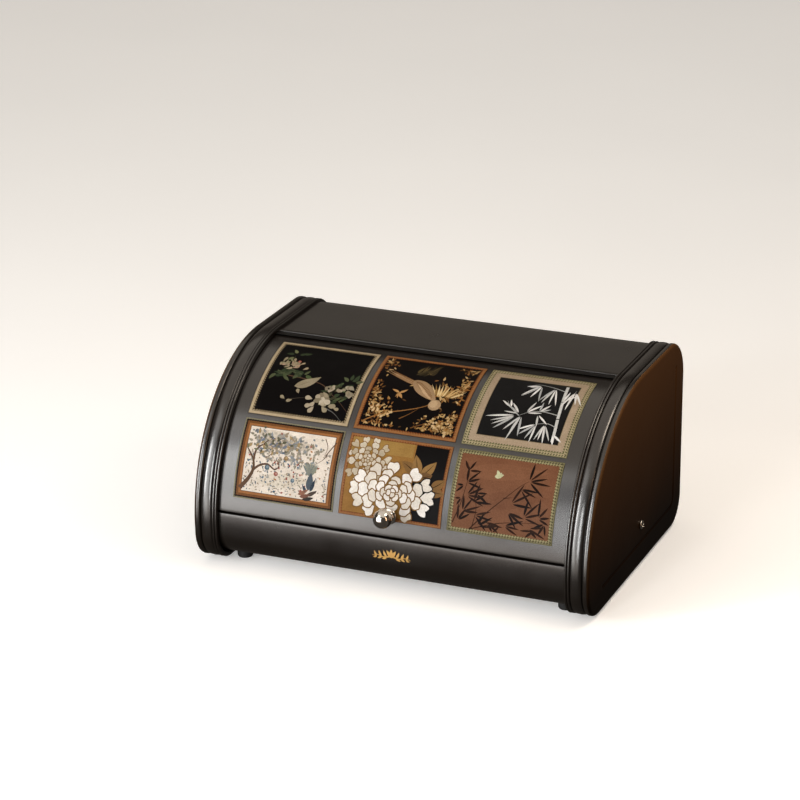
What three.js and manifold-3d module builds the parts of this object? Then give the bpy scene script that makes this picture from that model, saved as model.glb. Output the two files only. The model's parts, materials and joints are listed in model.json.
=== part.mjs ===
// Roll-top bread box: a bent steel shell between two deep-drawn end caps, with a curved lid
// that turns on two side screws and slides back under the roof.
//
// Millimetres, +X to the right, +Y to the back, +Z up. Every piece is drawn around the lid's
// pivot axis, which runs along X, and the whole assembly is then lifted so that the origin is
// the bottom centre of its box. An angle t is counted from the front horizontal (t = 0) up
// over the top (t = 90) to the back (t = 180).

import * as THREE from 'three';
import { mergeVertices } from 'three/addons/utils/BufferGeometryUtils.js';
import Module from 'manifold-3d';

const wasm = await Module();
wasm.setup();

// ---- Driving dimensions ---------------------------------------------------------------

// Outline of the end caps at the bottom of their grooves, seen from the side.
const OUTLINE_R = 150.2; // front arc about the pivot, and height of the top
const BACK_Y = 126;
const BOTTOM_Z = -39.8;
const BACK_TOP_R = 38.2;
const BACK_BOTTOM_R = 25.7;
const FRONT_BOTTOM_R = 28.9;

// Rim of an end cap, counted outwards from the groove outline and along X.
const CAP_FACE_X = 201.2;
const CAP_LIP_X = 176.7;
const CAP_WALL = 1.2;
const RIDGE_CREST = 2.9;
const EDGE_RIDGE = { inner: 194.3, outer: CAP_FACE_X, roundX: 2.8, segments: 2 };
const WIDE_BEAD = { inner: 182.6, outer: 193.5, roundX: 4.0, segments: 2 };
const THIN_BEADS = [
  { inner: CAP_LIP_X, outer: 179.1, roundX: 1.0, segments: 1 },
  { inner: 179.6, outer: 182.1, roundX: 1.0, segments: 1 },
];
const LIP_SEAT_X = 179.5; // the lip overlaps the roof sheet as far as this
const LIP_GROOVE = 1.9; // bottom of the groove between the two thin beads
const LIP_UNDERSIDE = -1.9;
const LIP_CLEARANCE = 0.7; // from the lip's underside to the pan

// Side groove pressed into each cap, near its back and bottom edges.
const GROOVE_Y = 102;
const GROOVE_TOP_Z = 126;
const GROOVE_Z = -18;
const GROOVE_FRONT_Y = -113;
const GROOVE_BEND_R = 10;
const GROOVE_HALF_WIDTH = 2;
const GROOVE_DEPTH = 0.6;

// Sheet metal.
const SHEET = 0.9;
const GAP = 0.3; // between pieces that touch
const ROOF_OFFSET = 0; // roof and back, outer surface
const ROOF_STEP_Y = -1.5; // the roof steps down here to a thin strip over the lid
const ROOF_EDGE_Y = -9.2; // front edge of that strip
const STRIP_THICKNESS = 0.6;
const BACK_EDGE_Z = -8;
const HEM_DEPTH = 9;
const SHEET_HALF_X = LIP_SEAT_X - GAP;
const LID_R = 147.6;
const PAN_BOTTOM_Z = -35.4;
const PAN_BACK_Y = BACK_Y - 2.6;
const PAN_FRONT_CORNER_R = 26.3;
const PAN_BACK_CORNER_R = 23.1;
const PAN_HALF_X = CAP_FACE_X - CAP_WALL - 0.6;
const PAN_REAR_TOP_Z = 14;
const PAN_LIP_T = 4.45;
const PAN_LEDGE_R = 139;

// Lid.
const LID_BOTTOM_T = 5.25;
const LID_TOP_T = 94.5;
const LID_HALF_X = 195.6;
const LID_FLANGE_R = 141;
const FLANGE_T = THREE.MathUtils.radToDeg(SHEET / LID_R);
const SIDE_PLATE_X = 194.3;
const SIDE_PLATE_WALL = 1;
const SIDE_PLATE_T = [7, 93];
const SIDE_PLATE_HUB_R = 11;
const SIDE_FLANGE_X = 184;
const BUMPER_X = [184, 192];

// Six printed films on the lid, in two rows of three.
const FILM_R = [147.85, 148.05];
const FILM_HALF_WIDTH = 52;
const FILM_PITCH_X = 110;
const FILM_ROWS = { top: [43.6, 81.5], bottom: [11.4, 41.8] };
const FILM_COLUMNS = { left: -1, middle: 0, right: 1 };

// Knob, on a line from the pivot axis through the lid.
const KNOB_T = 13.1;
const KNOB_BASE_R = 148.35;
const KNOB_BALL_RADIUS = 9.2;
const KNOB_BALL_CENTRE_R = 165.2;
const KNOB_FLANGE_RADIUS = 7.8;
const KNOB_NECK = 4.6;
const KNOB_THREAD = 3; // depth of the ball's bore
const KNOB_SCREW_HEAD = 4;
const KNOB_WASHER = { radius: 6, thickness: 1 };
const KNOB_BORE = 2.5;
const KNOB_SHANK = 2.2;

// Pivot hardware (M5).
const PIVOT_SHANK = 2.5;
const PIVOT_BORE = PIVOT_SHANK + GAP;
const PIVOT_HEAD = 4.6;
const PIVOT_HEAD_HEIGHT = 2.6;
const PIVOT_WASHER = { radius: 6, thickness: 1.2 };
const PIVOT_NUT = { cornerRadius: 4.62, thickness: 4 };
const BUSH_FLANGE = 7;
const BUSH_SLEEVE = 4.3;

// Feet.
const FOOT_X = 166;
const FOOT_FRONT_Y = -113;
const FOOT_BACK_Y = 92;
const FOOT_BOTTOM_Z = -45.5;
const FOOT_TOP_RADIUS = 7.8;
const FOOT_BOTTOM_RADIUS = 6.8;
const FOOT_RECESS_RADIUS = 4.1;
const FOOT_RECESS_DEPTH = 3.4;
const FOOT_SCREW_SHANK = 1.6;
const FOOT_SCREW_HEAD = 3.6;

const ROUND_STEPS = 20; // sides of a turned piece
const SCREW_STEPS = 12; // sides of a small screw

// ---- Materials ------------------------------------------------------------------------

const finish = (color, roughness, metalness) =>
  new THREE.MeshStandardMaterial({ color, roughness, metalness });

const PAINT = finish(0x46403b, 0.42, 0.55);
const CHROME = finish(0xd8d6d2, 0.12, 1);
const ZINC = finish(0xb9b7b0, 0.35, 1);
const NYLON = finish(0xdedacd, 0.5, 0);
const RUBBER = finish(0x161616, 0.85, 0);
const FILM = {
  top_left: finish(0x14110f, 0.25, 0),
  top_middle: finish(0x241a10, 0.25, 0),
  top_right: finish(0xa89d80, 0.25, 0),
  bottom_left: finish(0xd6cbb4, 0.25, 0),
  bottom_middle: finish(0xa07a36, 0.25, 0),
  bottom_right: finish(0x8a5032, 0.25, 0),
};

// ---- Solids ---------------------------------------------------------------------------

function toSolid(geometry) {
  geometry.deleteAttribute('normal');
  geometry.deleteAttribute('uv');
  const merged = mergeVertices(geometry, 1e-4);
  const corners = merged.index.array;
  const kept = [];
  for (let i = 0; i < corners.length; i += 3) {
    const [a, b, c] = corners.slice(i, i + 3);
    if (a !== b && b !== c && c !== a) kept.push(a, b, c);
  }
  return new wasm.Manifold(new wasm.Mesh({
    numProp: 3,
    vertProperties: new Float32Array(merged.attributes.position.array),
    triVerts: new Uint32Array(kept),
  }));
}

function toGeometry(solid) {
  const { vertProperties, triVerts } = solid.getMesh();
  const geometry = new THREE.BufferGeometry();
  geometry.setAttribute('position', new THREE.BufferAttribute(vertProperties, 3));
  geometry.setIndex(new THREE.BufferAttribute(triVerts, 1));
  return geometry;
}

function joined(solids) {
  return solids.reduce((whole, solid) => whole.add(solid));
}

// The same geometry on the other side of the middle plane.
function mirrorX(geometry) {
  geometry.scale(-1, 1, 1);
  const corners = geometry.index.array;
  for (let i = 0; i < corners.length; i += 3) {
    [corners[i], corners[i + 1]] = [corners[i + 1], corners[i]];
  }
  return geometry;
}

// ---- Outlines in the side view (y, z) -------------------------------------------------

const point = (y, z) => new THREE.Vector2(y, z);

// A point at radius r and angle t about the pivot.
function atAngle(r, t) {
  const turn = THREE.MathUtils.degToRad(t);
  return point(-r * Math.cos(turn), r * Math.sin(turn));
}

function arc(centre, r, from, to, steps) {
  const points = [];
  for (let i = 0; i <= steps; i += 1) {
    points.push(atAngle(r, from + ((to - from) * i) / steps).add(centre));
  }
  return points;
}

// The rounded front bottom corner between a level floor and the big arc about the pivot.
function frontBottomCorner(bigR, floorZ, cornerR, offset) {
  const z = floorZ + cornerR;
  const centre = point(-Math.sqrt((bigR - cornerR) ** 2 - z ** 2), z);
  const tangentT = THREE.MathUtils.radToDeg(Math.atan2(centre.y, -centre.x));
  return arc(centre, cornerR + offset, -90, tangentT, 6);
}

function backBottomCorner(backY, floorZ, cornerR, offset) {
  return arc(point(backY - cornerR, floorZ + cornerR), cornerR + offset, 180, 270, 6);
}

const PIVOT = point(0, 0);
const BACK_TOP = point(BACK_Y - BACK_TOP_R, OUTLINE_R - BACK_TOP_R);

const frontArc = (offset) => arc(PIVOT, OUTLINE_R + offset, 0, 90, 18);
const backTopCorner = (offset) => arc(BACK_TOP, BACK_TOP_R + offset, 90, 180, 8);
const panFront = (offset) => frontBottomCorner(LID_R, PAN_BOTTOM_Z, PAN_FRONT_CORNER_R, offset);
const panBack = (offset) => backBottomCorner(PAN_BACK_Y, PAN_BOTTOM_Z, PAN_BACK_CORNER_R, offset);

function capOutline(offset) {
  return [
    ...frontBottomCorner(OUTLINE_R, BOTTOM_Z, FRONT_BOTTOM_R, offset), ...frontArc(offset),
    ...backTopCorner(offset), ...backBottomCorner(BACK_Y, BOTTOM_Z, BACK_BOTTOM_R, offset),
  ];
}

// A band between two radii about the pivot.
function bandOutline(innerR, outerR, [from, to], steps) {
  return [...arc(PIVOT, outerR, from, to, steps), ...arc(PIVOT, innerR, to, from, steps)];
}

// ---- Extrusions and turnings ----------------------------------------------------------

const ALONG_X = new THREE.Matrix4().makeBasis(
  new THREE.Vector3(0, 1, 0), new THREE.Vector3(0, 0, 1), new THREE.Vector3(1, 0, 0));

// A side-view outline extruded along X.
function alongX(outline, fromX, toX, holes = []) {
  const shape = new THREE.Shape(outline);
  shape.holes.push(...holes);
  const geometry = new THREE.ExtrudeGeometry(shape, { depth: toX - fromX, bevelEnabled: false });
  return toSolid(geometry.applyMatrix4(ALONG_X).translate(fromX, 0, 0));
}

function roundHole(radius) {
  return new THREE.Path().absarc(0, 0, radius, 0, 2 * Math.PI);
}

// A full ring of the cap with rounded edges, standing up to the rim's crest.
function bead({ inner, outer, roundX, segments }) {
  const geometry = new THREE.ExtrudeGeometry(new THREE.Shape(capOutline(0)), {
    depth: outer - inner - 2 * roundX,
    bevelThickness: roundX,
    bevelSize: RIDGE_CREST,
    bevelSegments: segments,
  });
  return toSolid(geometry.applyMatrix4(ALONG_X).translate(inner + roundX, 0, 0));
}

// A profile of [radius, height] pairs turned about its own axis, which points along +Z.
function turned(profile, steps = ROUND_STEPS) {
  const geometry = new THREE.LatheGeometry(profile.map(([r, h]) => new THREE.Vector2(r, h)), steps);
  return toSolid(geometry.rotateX(Math.PI / 2));
}

const Z_TO_X = new THREE.Matrix4().makeRotationY(Math.PI / 2);
const Z_TO_KNOB = new THREE.Matrix4().makeRotationX(THREE.MathUtils.degToRad(90 - KNOB_T));

// A cross cut in the end of a screw head, down from height top.
function crossRecess(halfLength, halfWidth, top, depth) {
  const bars = [[halfLength, halfWidth], [halfWidth, halfLength]].map(([a, b]) =>
    toSolid(new THREE.BoxGeometry(2 * a, 2 * b, 2 * depth).translate(0, 0, top)));
  return joined(bars);
}

// ---- The assembly ---------------------------------------------------------------------

const assembly = new THREE.Group();

function place(name, solid, material, matrix = null) {
  const mesh = new THREE.Mesh(toGeometry(solid), material);
  mesh.name = name;
  if (matrix) mesh.applyMatrix4(matrix);
  assembly.add(mesh);
}

// The same piece on both sides: drawn for the right, mirrored for the left.
function placePair(name, solid, material, matrix = new THREE.Matrix4()) {
  const right = toGeometry(solid).applyMatrix4(matrix);
  const left = mirrorX(right.clone());
  for (const [side, geometry] of [['right', right], ['left', left]]) {
    const mesh = new THREE.Mesh(geometry, material);
    mesh.name = `${name}_${side}`;
    assembly.add(mesh);
  }
}

// End caps ------------------------------------------------------------------------------

function sideGroove() {
  const bend = point(GROOVE_Y - GROOVE_BEND_R, GROOVE_Z + GROOVE_BEND_R);
  const outline = [
    ...arc(point(GROOVE_Y, GROOVE_TOP_Z), GROOVE_HALF_WIDTH, 0, 180, 6),
    ...arc(bend, GROOVE_BEND_R + GROOVE_HALF_WIDTH, 180, 270, 5),
    ...arc(point(GROOVE_FRONT_Y, GROOVE_Z), GROOVE_HALF_WIDTH, -90, 90, 6),
    ...arc(bend, GROOVE_BEND_R - GROOVE_HALF_WIDTH, 270, 180, 5),
  ];
  return alongX(outline, CAP_FACE_X - GROOVE_DEPTH, CAP_FACE_X + 1);
}

function endCap() {
  const drum = alongX(capOutline(0), LIP_SEAT_X, CAP_FACE_X - EDGE_RIDGE.roundX);
  const lip = alongX(capOutline(LIP_GROOVE), CAP_LIP_X + GAP, LIP_SEAT_X + GAP);
  const outside = joined([drum, lip, ...[EDGE_RIDGE, WIDE_BEAD, ...THIN_BEADS].map(bead)]);
  const inside = alongX(capOutline(-CAP_WALL), LIP_SEAT_X, CAP_FACE_X - CAP_WALL);
  const mouth = alongX([
    ...panFront(LIP_CLEARANCE), ...frontArc(LIP_UNDERSIDE),
    ...backTopCorner(LIP_UNDERSIDE), ...panBack(LIP_CLEARANCE),
  ], CAP_LIP_X - 1, LIP_SEAT_X + 1);
  const seatOffset = ROOF_OFFSET + GAP;
  const seat = alongX([
    point(ROOF_EDGE_Y - GAP, BACK_EDGE_Z - GAP),
    point(ROOF_EDGE_Y - GAP, OUTLINE_R + seatOffset),
    ...backTopCorner(seatOffset),
    point(BACK_Y + seatOffset, BACK_EDGE_Z - GAP),
  ], CAP_LIP_X - 1, LIP_SEAT_X);
  const screwHole = toSolid(new THREE.CylinderGeometry(PIVOT_BORE, PIVOT_BORE, 10, ROUND_STEPS)
    .rotateZ(Math.PI / 2).translate(CAP_FACE_X, 0, 0));
  return [inside, mouth, seat, sideGroove(), screwHole].reduce((cap, cut) => cap.subtract(cut), outside);
}

placePair('end_cap', endCap(), PAINT);

// Roof and back, one sheet with a thin strip under its front edge and a hem at the bottom ----

function roofBackPanel() {
  const inner = ROOF_OFFSET - SHEET;
  const hem = inner - STRIP_THICKNESS;
  return alongX([
    point(ROOF_EDGE_Y, OUTLINE_R + inner),
    point(ROOF_STEP_Y, OUTLINE_R + inner),
    point(ROOF_STEP_Y, OUTLINE_R + ROOF_OFFSET),
    ...backTopCorner(ROOF_OFFSET),
    point(BACK_Y + ROOF_OFFSET, BACK_EDGE_Z),
    point(BACK_Y + hem, BACK_EDGE_Z),
    point(BACK_Y + hem, BACK_EDGE_Z + HEM_DEPTH),
    point(BACK_Y + inner, BACK_EDGE_Z + HEM_DEPTH),
    ...backTopCorner(inner).reverse(),
    point(ROOF_EDGE_Y + HEM_DEPTH, OUTLINE_R + inner),
    point(ROOF_EDGE_Y + HEM_DEPTH, OUTLINE_R + hem),
    point(ROOF_EDGE_Y, OUTLINE_R + hem),
  ], -SHEET_HALF_X, SHEET_HALF_X);
}

place('roof_back_panel', roofBackPanel(), PAINT);

// Base pan: front lip with an inward ledge, floor, and an upturned rear edge ---------------

const FOOT_PLACES = {
  front_left: [-FOOT_X, FOOT_FRONT_Y],
  front_right: [FOOT_X, FOOT_FRONT_Y],
  back_left: [-FOOT_X, FOOT_BACK_Y],
  back_right: [FOOT_X, FOOT_BACK_Y],
};

function basePan() {
  const innerR = LID_R - SHEET;
  const sheet = alongX([
    atAngle(LID_R, PAN_LIP_T), atAngle(LID_R, 0),
    ...panFront(0).reverse(),
    ...panBack(0).reverse(),
    point(PAN_BACK_Y, PAN_REAR_TOP_Z),
    point(PAN_BACK_Y - SHEET, PAN_REAR_TOP_Z),
    ...panBack(-SHEET),
    ...panFront(-SHEET),
    atAngle(innerR, 0), atAngle(innerR, PAN_LIP_T - FLANGE_T),
    atAngle(PAN_LEDGE_R, PAN_LIP_T - FLANGE_T), atAngle(PAN_LEDGE_R, PAN_LIP_T),
  ], -PAN_HALF_X, PAN_HALF_X);
  const screwHole = FOOT_SCREW_SHANK + GAP;
  const holes = Object.values(FOOT_PLACES).map(([x, y]) =>
    toSolid(new THREE.CylinderGeometry(screwHole, screwHole, 10, ROUND_STEPS)
      .rotateX(Math.PI / 2).translate(x, y, PAN_BOTTOM_Z)));
  return holes.reduce((pan, hole) => pan.subtract(hole), sheet);
}

place('base_pan', basePan(), PAINT);

// Feet and their screws -------------------------------------------------------------------

const FOOT_HEIGHT = PAN_BOTTOM_Z - GAP - FOOT_BOTTOM_Z;
const FOOT_BORE = FOOT_SCREW_SHANK + GAP;
const FOOT_PROFILE = [
  [FOOT_RECESS_RADIUS, 0],
  [FOOT_BOTTOM_RADIUS, 0],
  [FOOT_TOP_RADIUS, 1.2],
  [FOOT_TOP_RADIUS, FOOT_HEIGHT],
  [FOOT_BORE, FOOT_HEIGHT],
  [FOOT_BORE, FOOT_RECESS_DEPTH],
  [FOOT_RECESS_RADIUS, FOOT_RECESS_DEPTH],
  [FOOT_RECESS_RADIUS, 0],
];
const footHeadTop = FOOT_RECESS_DEPTH - GAP;
const footHeadBottom = footHeadTop - 2;
const FOOT_SCREW_PROFILE = [
  [0, footHeadBottom],
  [FOOT_SCREW_HEAD * 0.8, footHeadBottom],
  [FOOT_SCREW_HEAD, footHeadBottom + 1],
  [FOOT_SCREW_HEAD, footHeadTop],
  [FOOT_SCREW_SHANK, footHeadTop],
  [FOOT_SCREW_SHANK, FOOT_HEIGHT + 2],
  [0, FOOT_HEIGHT + 3.2],
];

for (const [corner, [x, y]] of Object.entries(FOOT_PLACES)) {
  const there = new THREE.Matrix4().makeTranslation(x, y, FOOT_BOTTOM_Z);
  place(`foot_${corner}`, turned(FOOT_PROFILE), RUBBER, there);
  const recess = crossRecess(2, 0.45, footHeadBottom, 0.9);
  place(`foot_screw_${corner}`, turned(FOOT_SCREW_PROFILE, SCREW_STEPS).subtract(recess), ZINC, there);
}

// Lid: curved sheet with a stiffening flange along its lower and upper edges ---------------

const lidInnerR = LID_R - SHEET;
const knobHole = (radius, r) => toSolid(new THREE.CylinderGeometry(radius, radius, 8, ROUND_STEPS)
  .rotateX(Math.PI / 2).translate(0, 0, r).applyMatrix4(Z_TO_KNOB));

function lidPanel() {
  const sheet = alongX([
    ...arc(PIVOT, LID_R, LID_BOTTOM_T, LID_TOP_T, 20),
    atAngle(LID_FLANGE_R, LID_TOP_T), atAngle(LID_FLANGE_R, LID_TOP_T - FLANGE_T),
    ...arc(PIVOT, lidInnerR, LID_TOP_T - FLANGE_T, LID_BOTTOM_T + FLANGE_T, 20),
    atAngle(LID_FLANGE_R, LID_BOTTOM_T + FLANGE_T), atAngle(LID_FLANGE_R, LID_BOTTOM_T),
  ], -LID_HALF_X, LID_HALF_X);
  return sheet.subtract(knobHole(KNOB_BORE, LID_R));
}

place('lid_panel', lidPanel(), PAINT);

function lidSidePlate() {
  const rimR = lidInnerR - GAP;
  const [from, to] = SIDE_PLATE_T;
  const plate = alongX([
    ...arc(PIVOT, rimR, from, to, 18),
    ...arc(PIVOT, SIDE_PLATE_HUB_R, to + 90, from + 270, 8),
  ], SIDE_PLATE_X, SIDE_PLATE_X + SIDE_PLATE_WALL, [roundHole(BUSH_SLEEVE + GAP)]);
  const flange = alongX(
    bandOutline(rimR - SIDE_PLATE_WALL, rimR, SIDE_PLATE_T, 18), SIDE_FLANGE_X, SIDE_PLATE_X + 0.5);
  return plate.add(flange);
}

placePair('lid_side_plate', lidSidePlate(), PAINT);

// Soft stops on the pan's ledge, under the lid's lower flange.
const clearT = THREE.MathUtils.radToDeg(GAP / LID_FLANGE_R) * 1.05;
const bumper = bandOutline(LID_FLANGE_R, lidInnerR - 1, [PAN_LIP_T + clearT, LID_BOTTOM_T - clearT], 1);
placePair('lid_bumper', alongX(bumper, ...BUMPER_X), RUBBER);

// Printed films ----------------------------------------------------------------------------

for (const [row, span] of Object.entries(FILM_ROWS)) {
  for (const [column, index] of Object.entries(FILM_COLUMNS)) {
    const middle = index * FILM_PITCH_X;
    const film = alongX(
      bandOutline(...FILM_R, span, 9), middle - FILM_HALF_WIDTH, middle + FILM_HALF_WIDTH);
    const cut = film.subtract(knobHole(KNOB_BORE + GAP, LID_R));
    place(`art_panel_${row}_${column}`, cut, FILM[`${row}_${column}`]);
  }
}

// Knob: ball, flanged base, and the screw and washer that hold them from inside the lid ------

function ballProfile() {
  const start = -Math.acos(KNOB_NECK / KNOB_BALL_RADIUS);
  const points = [];
  const steps = 12;
  for (let i = 0; i <= steps; i += 1) {
    const rise = start + ((Math.PI / 2 - start) * i) / steps;
    points.push([
      i === steps ? 0 : KNOB_BALL_RADIUS * Math.cos(rise),
      KNOB_BALL_CENTRE_R + KNOB_BALL_RADIUS * Math.sin(rise),
    ]);
  }
  const bottom = points[0][1];
  return [[0, bottom + KNOB_THREAD], [KNOB_BORE, bottom + KNOB_THREAD], [KNOB_BORE, bottom], ...points];
}

const BALL_BOTTOM = ballProfile()[2][1];
const KNOB_BASE_PROFILE = [
  [KNOB_BORE, KNOB_BASE_R],
  [KNOB_FLANGE_RADIUS, KNOB_BASE_R],
  [KNOB_FLANGE_RADIUS, KNOB_BASE_R + 1.6],
  [KNOB_FLANGE_RADIUS - 1.2, KNOB_BASE_R + 2.8],
  [KNOB_NECK + 0.6, KNOB_BASE_R + 4.2],
  [KNOB_NECK, BALL_BOTTOM - GAP],
  [KNOB_BORE, BALL_BOTTOM - GAP],
  [KNOB_BORE, KNOB_BASE_R],
];
const washerTop = lidInnerR - 2 * GAP;
const washerBottom = washerTop - KNOB_WASHER.thickness;
const KNOB_WASHER_PROFILE = [
  [KNOB_BORE, washerBottom], [KNOB_WASHER.radius, washerBottom],
  [KNOB_WASHER.radius, washerTop], [KNOB_BORE, washerTop], [KNOB_BORE, washerBottom],
];
const knobHeadTop = washerBottom - GAP;
const knobHeadBottom = knobHeadTop - 2.6;
const KNOB_SCREW_PROFILE = [
  [0, knobHeadBottom],
  [KNOB_SCREW_HEAD * 0.65, knobHeadBottom + 0.3],
  [KNOB_SCREW_HEAD, knobHeadTop - 1],
  [KNOB_SCREW_HEAD, knobHeadTop],
  [KNOB_SHANK, knobHeadTop],
  [KNOB_SHANK, BALL_BOTTOM + 2.2],
  [0, BALL_BOTTOM + 2.2],
];

place('knob_ball', turned(ballProfile(), 24), CHROME, Z_TO_KNOB);
place('knob_base', turned(KNOB_BASE_PROFILE), CHROME, Z_TO_KNOB);
place('knob_washer', turned(KNOB_WASHER_PROFILE), ZINC, Z_TO_KNOB);
const knobRecess = crossRecess(2, 0.5, knobHeadBottom, 1.2);
place('knob_screw', turned(KNOB_SCREW_PROFILE, SCREW_STEPS).subtract(knobRecess), ZINC, Z_TO_KNOB);

// Pivots: a screw through the cap, a flanged bush that the lid turns on, a washer and a nut ---

const capInnerX = CAP_FACE_X - CAP_WALL;
const plateOuterX = SIDE_PLATE_X + SIDE_PLATE_WALL;
const sleeveEndX = SIDE_PLATE_X - GAP;
const washerOuterX = sleeveEndX - GAP;
const washerInnerX = washerOuterX - PIVOT_WASHER.thickness;
const nutOuterX = washerInnerX - GAP;
const nutInnerX = nutOuterX - PIVOT_NUT.thickness;
const headX = CAP_FACE_X + GAP;

const PIVOT_SCREW_PROFILE = [
  [0, nutInnerX - 2],
  [PIVOT_SHANK, nutInnerX - 1],
  [PIVOT_SHANK, headX],
  [PIVOT_HEAD, headX],
  [PIVOT_HEAD, headX + 0.8],
  [PIVOT_HEAD * 0.87, headX + 1.7],
  [PIVOT_HEAD * 0.55, headX + 2.35],
  [0, headX + PIVOT_HEAD_HEIGHT],
];
const PIVOT_BUSH_PROFILE = [
  [PIVOT_BORE, sleeveEndX],
  [BUSH_SLEEVE, sleeveEndX],
  [BUSH_SLEEVE, plateOuterX + GAP],
  [BUSH_FLANGE, plateOuterX + GAP],
  [BUSH_FLANGE, capInnerX - GAP],
  [PIVOT_BORE, capInnerX - GAP],
  [PIVOT_BORE, sleeveEndX],
];
const PIVOT_WASHER_PROFILE = [
  [PIVOT_BORE, washerInnerX], [PIVOT_WASHER.radius, washerInnerX], [PIVOT_WASHER.radius, washerOuterX],
  [PIVOT_BORE, washerOuterX], [PIVOT_BORE, washerInnerX],
];

const pivotRecess = crossRecess(2.4, 0.5, headX + PIVOT_HEAD_HEIGHT, 1.4);
placePair('pivot_screw', turned(PIVOT_SCREW_PROFILE).subtract(pivotRecess), ZINC, Z_TO_X);
placePair('pivot_bush', turned(PIVOT_BUSH_PROFILE), NYLON, Z_TO_X);
placePair('pivot_washer', turned(PIVOT_WASHER_PROFILE), ZINC, Z_TO_X);
const hexagon = arc(PIVOT, PIVOT_NUT.cornerRadius, 0, 300, 5);
placePair('pivot_nut', alongX(hexagon, nutInnerX, nutOuterX, [roundHole(PIVOT_BORE)]), ZINC);

// Lift the pivot so that the origin is the bottom centre of the whole box.
const ballFrontY = atAngle(KNOB_BALL_CENTRE_R, KNOB_T).x - KNOB_BALL_RADIUS;
const capBackY = BACK_Y + RIDGE_CREST;
assembly.position.set(0, -(ballFrontY + capBackY) / 2, -FOOT_BOTTOM_Z);

export default assembly;
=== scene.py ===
"""Looks of the roll-top bread box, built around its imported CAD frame.

The sheet-metal parts, feet, knob, side screws and printed films are remade as fine meshes in
the places that the CAD nodes hold; the other nodes keep their shape and take a finish.
Lengths of the object are millimetres counted from the lid's pivot axis: x to the right, y to
the back, z up. Noise scales are per metre; bumps, camera distance, floor and lights are in
metres. An angle t is counted in degrees from the front horizontal (t = 0) up over the top
(t = 90) to the back (t = 180).
"""

import json
import math
import random
from collections import namedtuple

import bmesh
import bpy
from mathutils import Matrix, Vector

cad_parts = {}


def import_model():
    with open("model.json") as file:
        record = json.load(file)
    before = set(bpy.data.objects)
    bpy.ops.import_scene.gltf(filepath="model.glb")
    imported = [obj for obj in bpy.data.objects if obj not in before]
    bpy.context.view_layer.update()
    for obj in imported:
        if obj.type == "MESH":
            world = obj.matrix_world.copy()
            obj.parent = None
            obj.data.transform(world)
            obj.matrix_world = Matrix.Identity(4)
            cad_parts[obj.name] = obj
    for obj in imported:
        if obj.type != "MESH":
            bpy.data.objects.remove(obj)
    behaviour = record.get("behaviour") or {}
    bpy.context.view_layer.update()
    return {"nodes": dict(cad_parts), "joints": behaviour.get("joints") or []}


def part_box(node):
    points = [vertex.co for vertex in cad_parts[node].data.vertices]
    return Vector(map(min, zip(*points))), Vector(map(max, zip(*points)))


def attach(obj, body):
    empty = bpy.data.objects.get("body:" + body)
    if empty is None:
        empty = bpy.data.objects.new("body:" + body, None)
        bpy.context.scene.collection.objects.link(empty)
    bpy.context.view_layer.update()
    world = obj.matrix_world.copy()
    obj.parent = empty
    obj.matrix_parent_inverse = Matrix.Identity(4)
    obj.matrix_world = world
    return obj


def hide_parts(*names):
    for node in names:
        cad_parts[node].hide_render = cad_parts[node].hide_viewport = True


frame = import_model()

MM = 0.001
PIVOT = Vector(frame["joints"][0]["pos_m"])


def world(x, y, z):
    """A point in millimetres about the pivot, as metres in the row frame."""
    return Vector((x, y, z)) * MM + PIVOT


def cad_box(node):
    """A CAD node's corners in millimetres about the pivot."""
    low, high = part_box(node)
    return (low - PIVOT) / MM, (high - PIVOT) / MM


# ---- Measures taken from the frame ----

SKIN = 0.02  # how far the fine meshes stay inside the CAD's faces
CAP_LOW, CAP_HIGH = cad_box("end_cap_right")
LID_LOW, LID_HIGH = cad_box("lid_panel")
ROOF_LOW, ROOF_HIGH = cad_box("roof_back_panel")
PAN_LOW, PAN_HIGH = cad_box("base_pan")
SCREW_LOW, SCREW_HIGH = cad_box("pivot_screw_right")

CREST_R = CAP_HIGH.z - SKIN
CREST_BACK = CAP_HIGH.y - SKIN
CREST_BOTTOM = CAP_LOW.z + SKIN
CAP_FACE = CAP_HIGH.x - SKIN
CAP_LIP = CAP_LOW.x + SKIN
LID_BOTTOM_T = 5.25  # where the lid's lower edge rests
LID_R = -LID_LOW.y / math.cos(math.radians(LID_BOTTOM_T))

# Round corners of the end caps, measured at the crest of their rim.
BACK_TOP_R = 41.1
BACK_BOTTOM_R = 28.6
FRONT_BOTTOM_R = 31.8

CAP_WALL = 1.2
ROOF_DROP = 2.9  # from the rim's crest down to the roof
FILM_R = 148.05  # outer face of the films on the lid
ROOF_STRIP_Z = 148.72  # underside of the strip in front of the roof
PAN_FRONT_CORNER_R = 26.3
PAN_BACK_CORNER_R = 23.1
PAN_REAR_TOP_Z = 14  # the pan's turned-up back edge
SHEET = 0.85
SHEET_INSET = 0.1  # from a sheet's CAD ends to the ends of its fine mesh


# ---- Camera ----

def placed(name, data):
    """A new object in the scene."""
    thing = bpy.data.objects.new(name, data)
    bpy.context.scene.collection.objects.link(thing)
    return thing


def direction(azimuth, elevation):
    """From the object outwards: azimuth 0 is straight in front, 90 to the right."""
    a, e = math.radians(azimuth), math.radians(elevation)
    return Vector((math.sin(a) * math.cos(e), -math.cos(a) * math.cos(e), math.sin(e)))


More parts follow.
